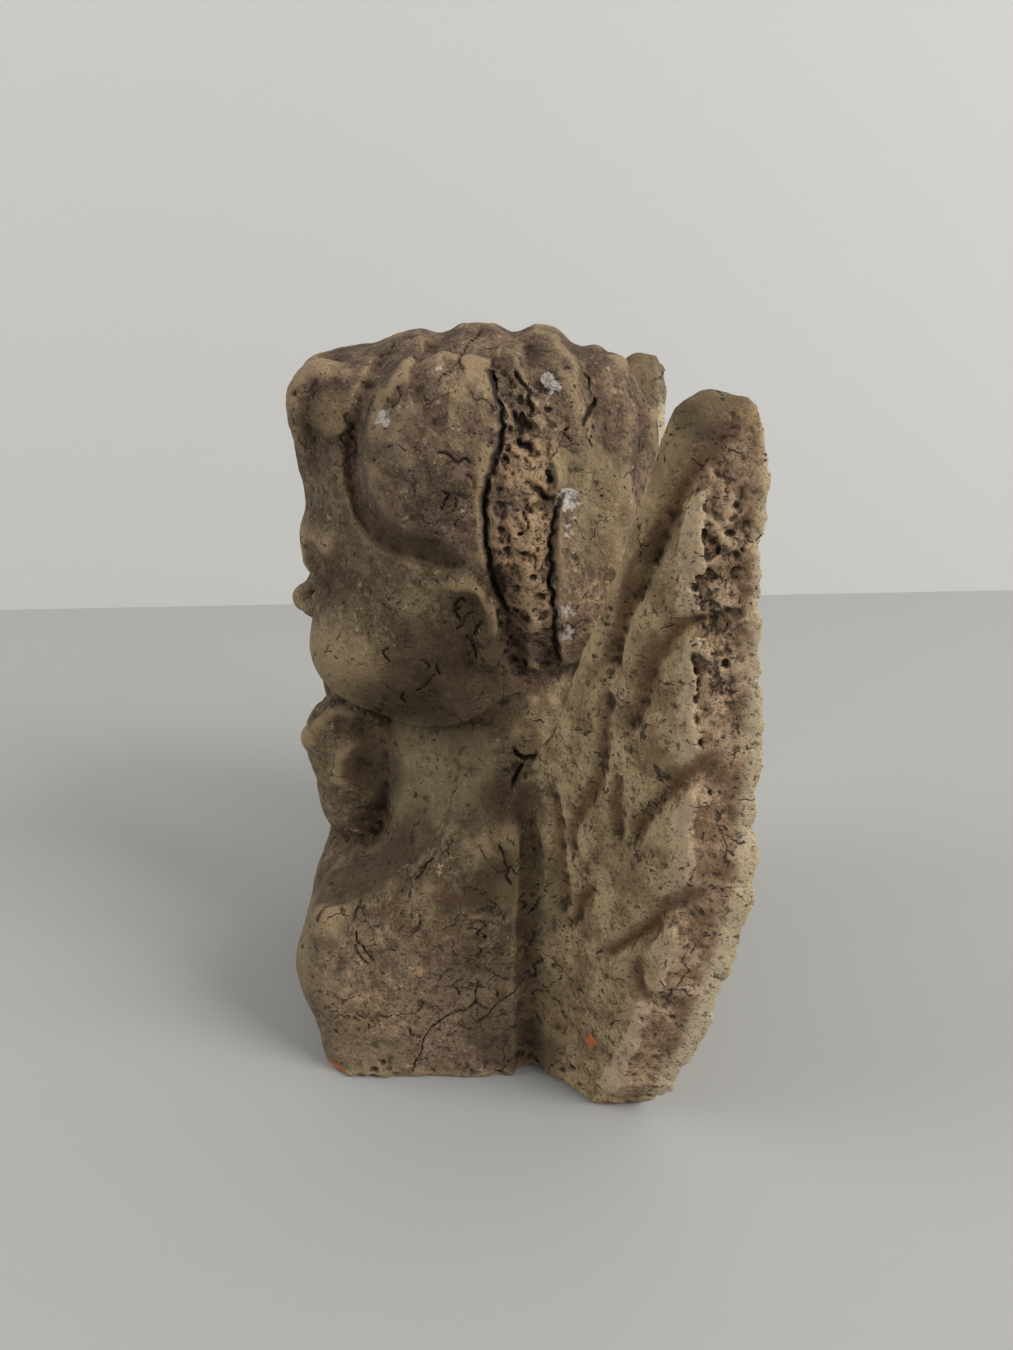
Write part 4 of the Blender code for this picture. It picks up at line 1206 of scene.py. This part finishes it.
def lay_patina(p):
    """Olive grey on the body, browner on the hair, creamier on the wings, and beige on their ends."""
    height = p.make("ShaderNodeSeparateXYZ", {0: p.place}).outputs[2]
    # Paler, pinker clay towards the foot in broad patches, which is partly a painted highlight on the lower
    # trunk
    low_body_highlight = p.times(p.ramp(height, 62, 25), p.ramp(p.noise(p.place, 0.035, 4), 0.35, 0.6))
    body = p.mix(low_body_highlight, p.blotched(BODY_PATINA, 0.4, 0.6), shade(*LOW_BODY_HIGHLIGHT))
    hair = p.ragged(p.kind("hair"), 0.8, 0.3, 0.7, p.blotch)
    p.color = p.mix(hair, body, p.blotched(HAIR_PATINA, 0.38, 0.62))
    p.color = p.mix(p.kind("wing"), p.color, p.blotched(WING_PATINA, 0.4, 0.62))
    end = p.ragged(p.kind("end"), 0.5, 0.3, 0.45, p.speck)
    p.color = p.mix(end, p.color, p.blotched(CUT_CLAY, 0.36, 0.62))
    # A painted highlight along the back edge of each wing's cut end
    p.coat(p.kind("back_arris"), 0.85, BACK_ARRIS_HIGHLIGHT)
    # Rusty colour, and on the lower trunk partly a painted highlight
    p.coat(p.ragged(p.kind("rust_and_highlight"), 1.6, 0.4, 0.9, p.speck), 0.7, RUST_AND_HIGHLIGHT)


def lay_grime(p):
    """Smudges and dark specks, fewer on the wings, and pale crumbs between the smudges."""
    share = p.math("SUBTRACT", 0.6, p.times(p.kind("wing"), 0.48))
    p.coat(p.ramp(p.smudge, 0.52, 0.62), share, SMUDGE)
    p.coat(p.times(p.ramp(p.speck, 0.55, 0.63), p.ramp(p.smudge, 0.49, 0.38)), 0.7, CRUMB)
    p.coat(p.ramp(p.speck, 0.47, 0.36), 0.75, DARK_SPECK)
    p.coat(p.ramp(p.grain, 0.46, 0.36), 0.5, DARK_GRAIN)
    p.coat(p.ramp(p.grain, 0.56, 0.64), 0.2, PALE_GRAIN)


def lay_dirt(p):
    """Dirt gathers in hollows, between the feathers and in stained places, and the crests get a painted
    highlight.
    """
    wing = p.kind("wing")
    # A painted highlight on the convex crests
    p.coat(p.kind("crest"), 0.5, CREST_HIGHLIGHT)
    kept = p.math("SUBTRACT", 0.5, p.times(wing, 0.25))
    dirt = p.most(p.times(p.kind("hollow"), kept), p.times(p.kind("seam"), 0.8))
    share = p.times(p.ragged(dirt, 0.8, 0.15, 0.85, p.speck), 0.85)
    p.color = p.mix(share, p.color, p.mix(wing, shade(*SOIL), shade(*WING_SOIL)))
    # Paler olive patches on the neck, the front of the face, the back of the hair and the front of the foot
    p.coat(p.ragged(p.kind("paler_patch"), 0.8, 0.2, 1.0, p.blotch), 0.55, PALER_OLIVE)
    # Stains, and painted shade in the hollow above each arm's crest
    p.coat(p.ragged(p.kind("stain_and_shade"), 1.6, 0.15, 1.0, p.blotch), 0.72, STAIN_AND_SHADE)
    # A painted highlight along the front edge of each wing's cut end
    p.coat(p.ragged(p.kind("front_arris"), 1.8, 0.5, 0.9, p.speck), 0.55, FRONT_ARRIS_HIGHLIGHT)
    # Dark flecks over the holey middle of the cut ends: painted shade in their pits
    p.coat(p.times(p.kind("rough"), p.ramp(p.speck, 0.53, 0.42)), 0.6, PIT_SHADE)


def small_marks(p):
    """Pinholes, broken hairlines and dark bruises, each in patches."""
    holes = p.times(p.ramp(p.cells(p.warped, 0.5), 0.22, 0.1), p.ramp(p.noise(p.place, 0.14, 3), 0.5, 0.58))
    fine = p.times(p.ramp(p.cells(p.warped, 1.1), 0.26, 0.14), p.ramp(p.noise(p.place, 0.09, 4), 0.48, 0.56))
    vein = p.ramp(p.cells(p.warped, 0.075, "DISTANCE_TO_EDGE"), 0.02, 0.008)
    hairline = p.times(vein, p.ramp(p.noise(p.place, 0.16, 4, 0.65), 0.53, 0.57))
    bruise = p.times(p.ramp(p.noise(p.warped, 0.7, 5, 0.75), 0.62, 0.68), p.ramp(p.blotch, 0.44, 0.56))
    return p.most(p.most(p.most(holes, p.times(fine, 0.7)), hairline), bruise)


def patinated_clay():
    """Fired clay under a worn grey-beige patina, with brown dirt in its hollows, salt and bare chips."""
    material = bpy.data.materials.new("patinated_clay")
    material.use_nodes = True
    p = Patina(material.node_tree)
    lay_patina(p)
    lay_grime(p)
    lay_dirt(p)
    marks = small_marks(p)
    p.coat(marks, 0.85, SMALL_MARK)
    grooves = p.times(p.kind("groove"), p.ramp(p.speck, 0.28, 0.55))
    deep = p.most(grooves, p.ragged(p.kind("crack"), 2, 0.6, 0.8, p.speck))
    p.coat(deep, 0.95, DEEP_MARK)
    p.coat(p.ragged(p.kind("pale"), 2.0, 0.5, 0.7, p.speck), 0.85, SALT)
    p.coat(p.ragged(p.kind("bare"), 1.8, 0.6, 0.75, p.speck), 0.85, BARE_CLAY)
    relief = p.math("ADD", p.times(p.grain, 0.6), p.times(p.speck, 1.1))
    relief = p.math("SUBTRACT", relief, p.times(p.most(marks, deep), 1.2))
    bump = p.make("ShaderNodeBump", {"Height": relief, "Strength": 1.0, "Distance": 0.0014})
    shader = p.tree.nodes["Principled BSDF"]
    p.fill(shader.inputs["Base Color"], p.color)
    p.fill(shader.inputs["Roughness"], p.math("ADD", 0.72, p.times(p.speck, 0.28)))
    p.fill(shader.inputs["Normal"], bump.outputs[0])
    shader.inputs["Specular IOR Level"].default_value = 0.3
    return material


def plain(name, color, rough):
    material = bpy.data.materials.new(name)
    material.use_nodes = True
    shader = material.node_tree.nodes["Principled BSDF"]
    shader.inputs["Base Color"].default_value = shade(*color)
    shader.inputs["Roughness"].default_value = rough
    return material


def build_stage():
    """A pale table against a paler wall."""
    profile = [(TABLE_FRONT, 0), (WALL_BACK, 0), (WALL_BACK, WALL_HEIGHT)]
    points = [(x, y, z) for x, z in profile for y in (-ROOM_SIDE, ROOM_SIDE)]
    mesh = bpy.data.meshes.new("table")
    mesh.from_pydata(points, [], [(0, 1, 3, 2), (2, 3, 5, 4)])
    mesh.materials.append(plain("table_paint", TABLE_PAINT, 0.6))
    mesh.materials.append(plain("wall_paint", WALL_PAINT, 0.8))
    mesh.polygons.foreach_set("material_index", [0, 1])
    table = add_object("table", mesh)


def add_light(name, place, aim, size, power, color):
    """A soft panel of light at a place, turned towards its aim."""
    light = bpy.data.lights.new(name, "AREA")
    light.energy = power
    light.color = color
    light.shape = "RECTANGLE"
    light.size, light.size_y = size
    obj = add_object(name, light)
    obj.location = place
    obj.rotation_euler = (Vector(aim) - Vector(place)).to_track_quat("-Z", "Y").to_euler()


def build_lights():
    """Daylight from a window behind the left wing, the glow of the room, and a wash on the wall."""
    world = bpy.data.worlds.new("room")
    world.use_nodes = True
    world.node_tree.nodes["Background"].inputs["Color"].default_value = (1, 0.995, 0.98, 1)
    world.node_tree.nodes["Background"].inputs["Strength"].default_value = 0.5
    bpy.context.scene.world = world
    figure = (0, 0, 0.1)
    daylight = (1, 0.98, 0.95)
    add_light("window", (1.3, 2.2, 1.7), figure, (1.4, 1.4), 112, daylight)
    add_light("back_window", (-0.3, 1.2, 1.4), figure, (1.2, 1), 5, daylight)
    add_light("wall_wash", (0.05, -1.5, 0.9), (WALL_BACK, -0.4, 0.1), (1.4, 1.4), 17, (1, 1, 1))
    bpy.context.scene.view_settings.view_transform = "Standard"


def build_camera(shift):
    """Looks at the left side from above, turned a little to the back and tipped a little."""
    yaw, pitch, roll = radians(CAMERA_YAW), radians(CAMERA_PITCH), radians(CAMERA_ROLL)
    ahead = Vector((-cos(pitch) * cos(yaw), sin(yaw) * cos(pitch), -sin(pitch)))
    level = Vector((sin(yaw), cos(yaw), 0))
    upright = level.cross(ahead)
    right = cos(roll) * level + sin(roll) * upright
    up = -sin(roll) * level + cos(roll) * upright
    camera = bpy.data.cameras.new("camera")
    camera.sensor_fit = "VERTICAL"
    camera.sensor_height = SENSOR_HEIGHT
    camera.lens = SENSOR_HEIGHT * FOCAL_PIXELS / IMAGE_HEIGHT
    camera.clip_start = 0.01
    obj = add_object("camera", camera)
    turn = Matrix((right, up, -ahead)).transposed().to_4x4()
    turn.translation = Vector(CAMERA_PLACE) + Vector(shift)
    obj.matrix_world = turn
    bpy.context.scene.camera = obj


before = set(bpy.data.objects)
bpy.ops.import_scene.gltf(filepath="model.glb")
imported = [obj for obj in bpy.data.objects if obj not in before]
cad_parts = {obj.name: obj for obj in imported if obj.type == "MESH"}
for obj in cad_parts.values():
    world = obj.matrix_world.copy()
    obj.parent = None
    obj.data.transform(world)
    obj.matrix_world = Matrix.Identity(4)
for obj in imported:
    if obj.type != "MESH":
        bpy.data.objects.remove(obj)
cad_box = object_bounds()
piece, shift = build_piece(cad_box)
piece.data.materials.append(patinated_clay())
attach(piece, "root")
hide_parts("angel_bust")
build_stage()
build_lights()
build_camera(shift)
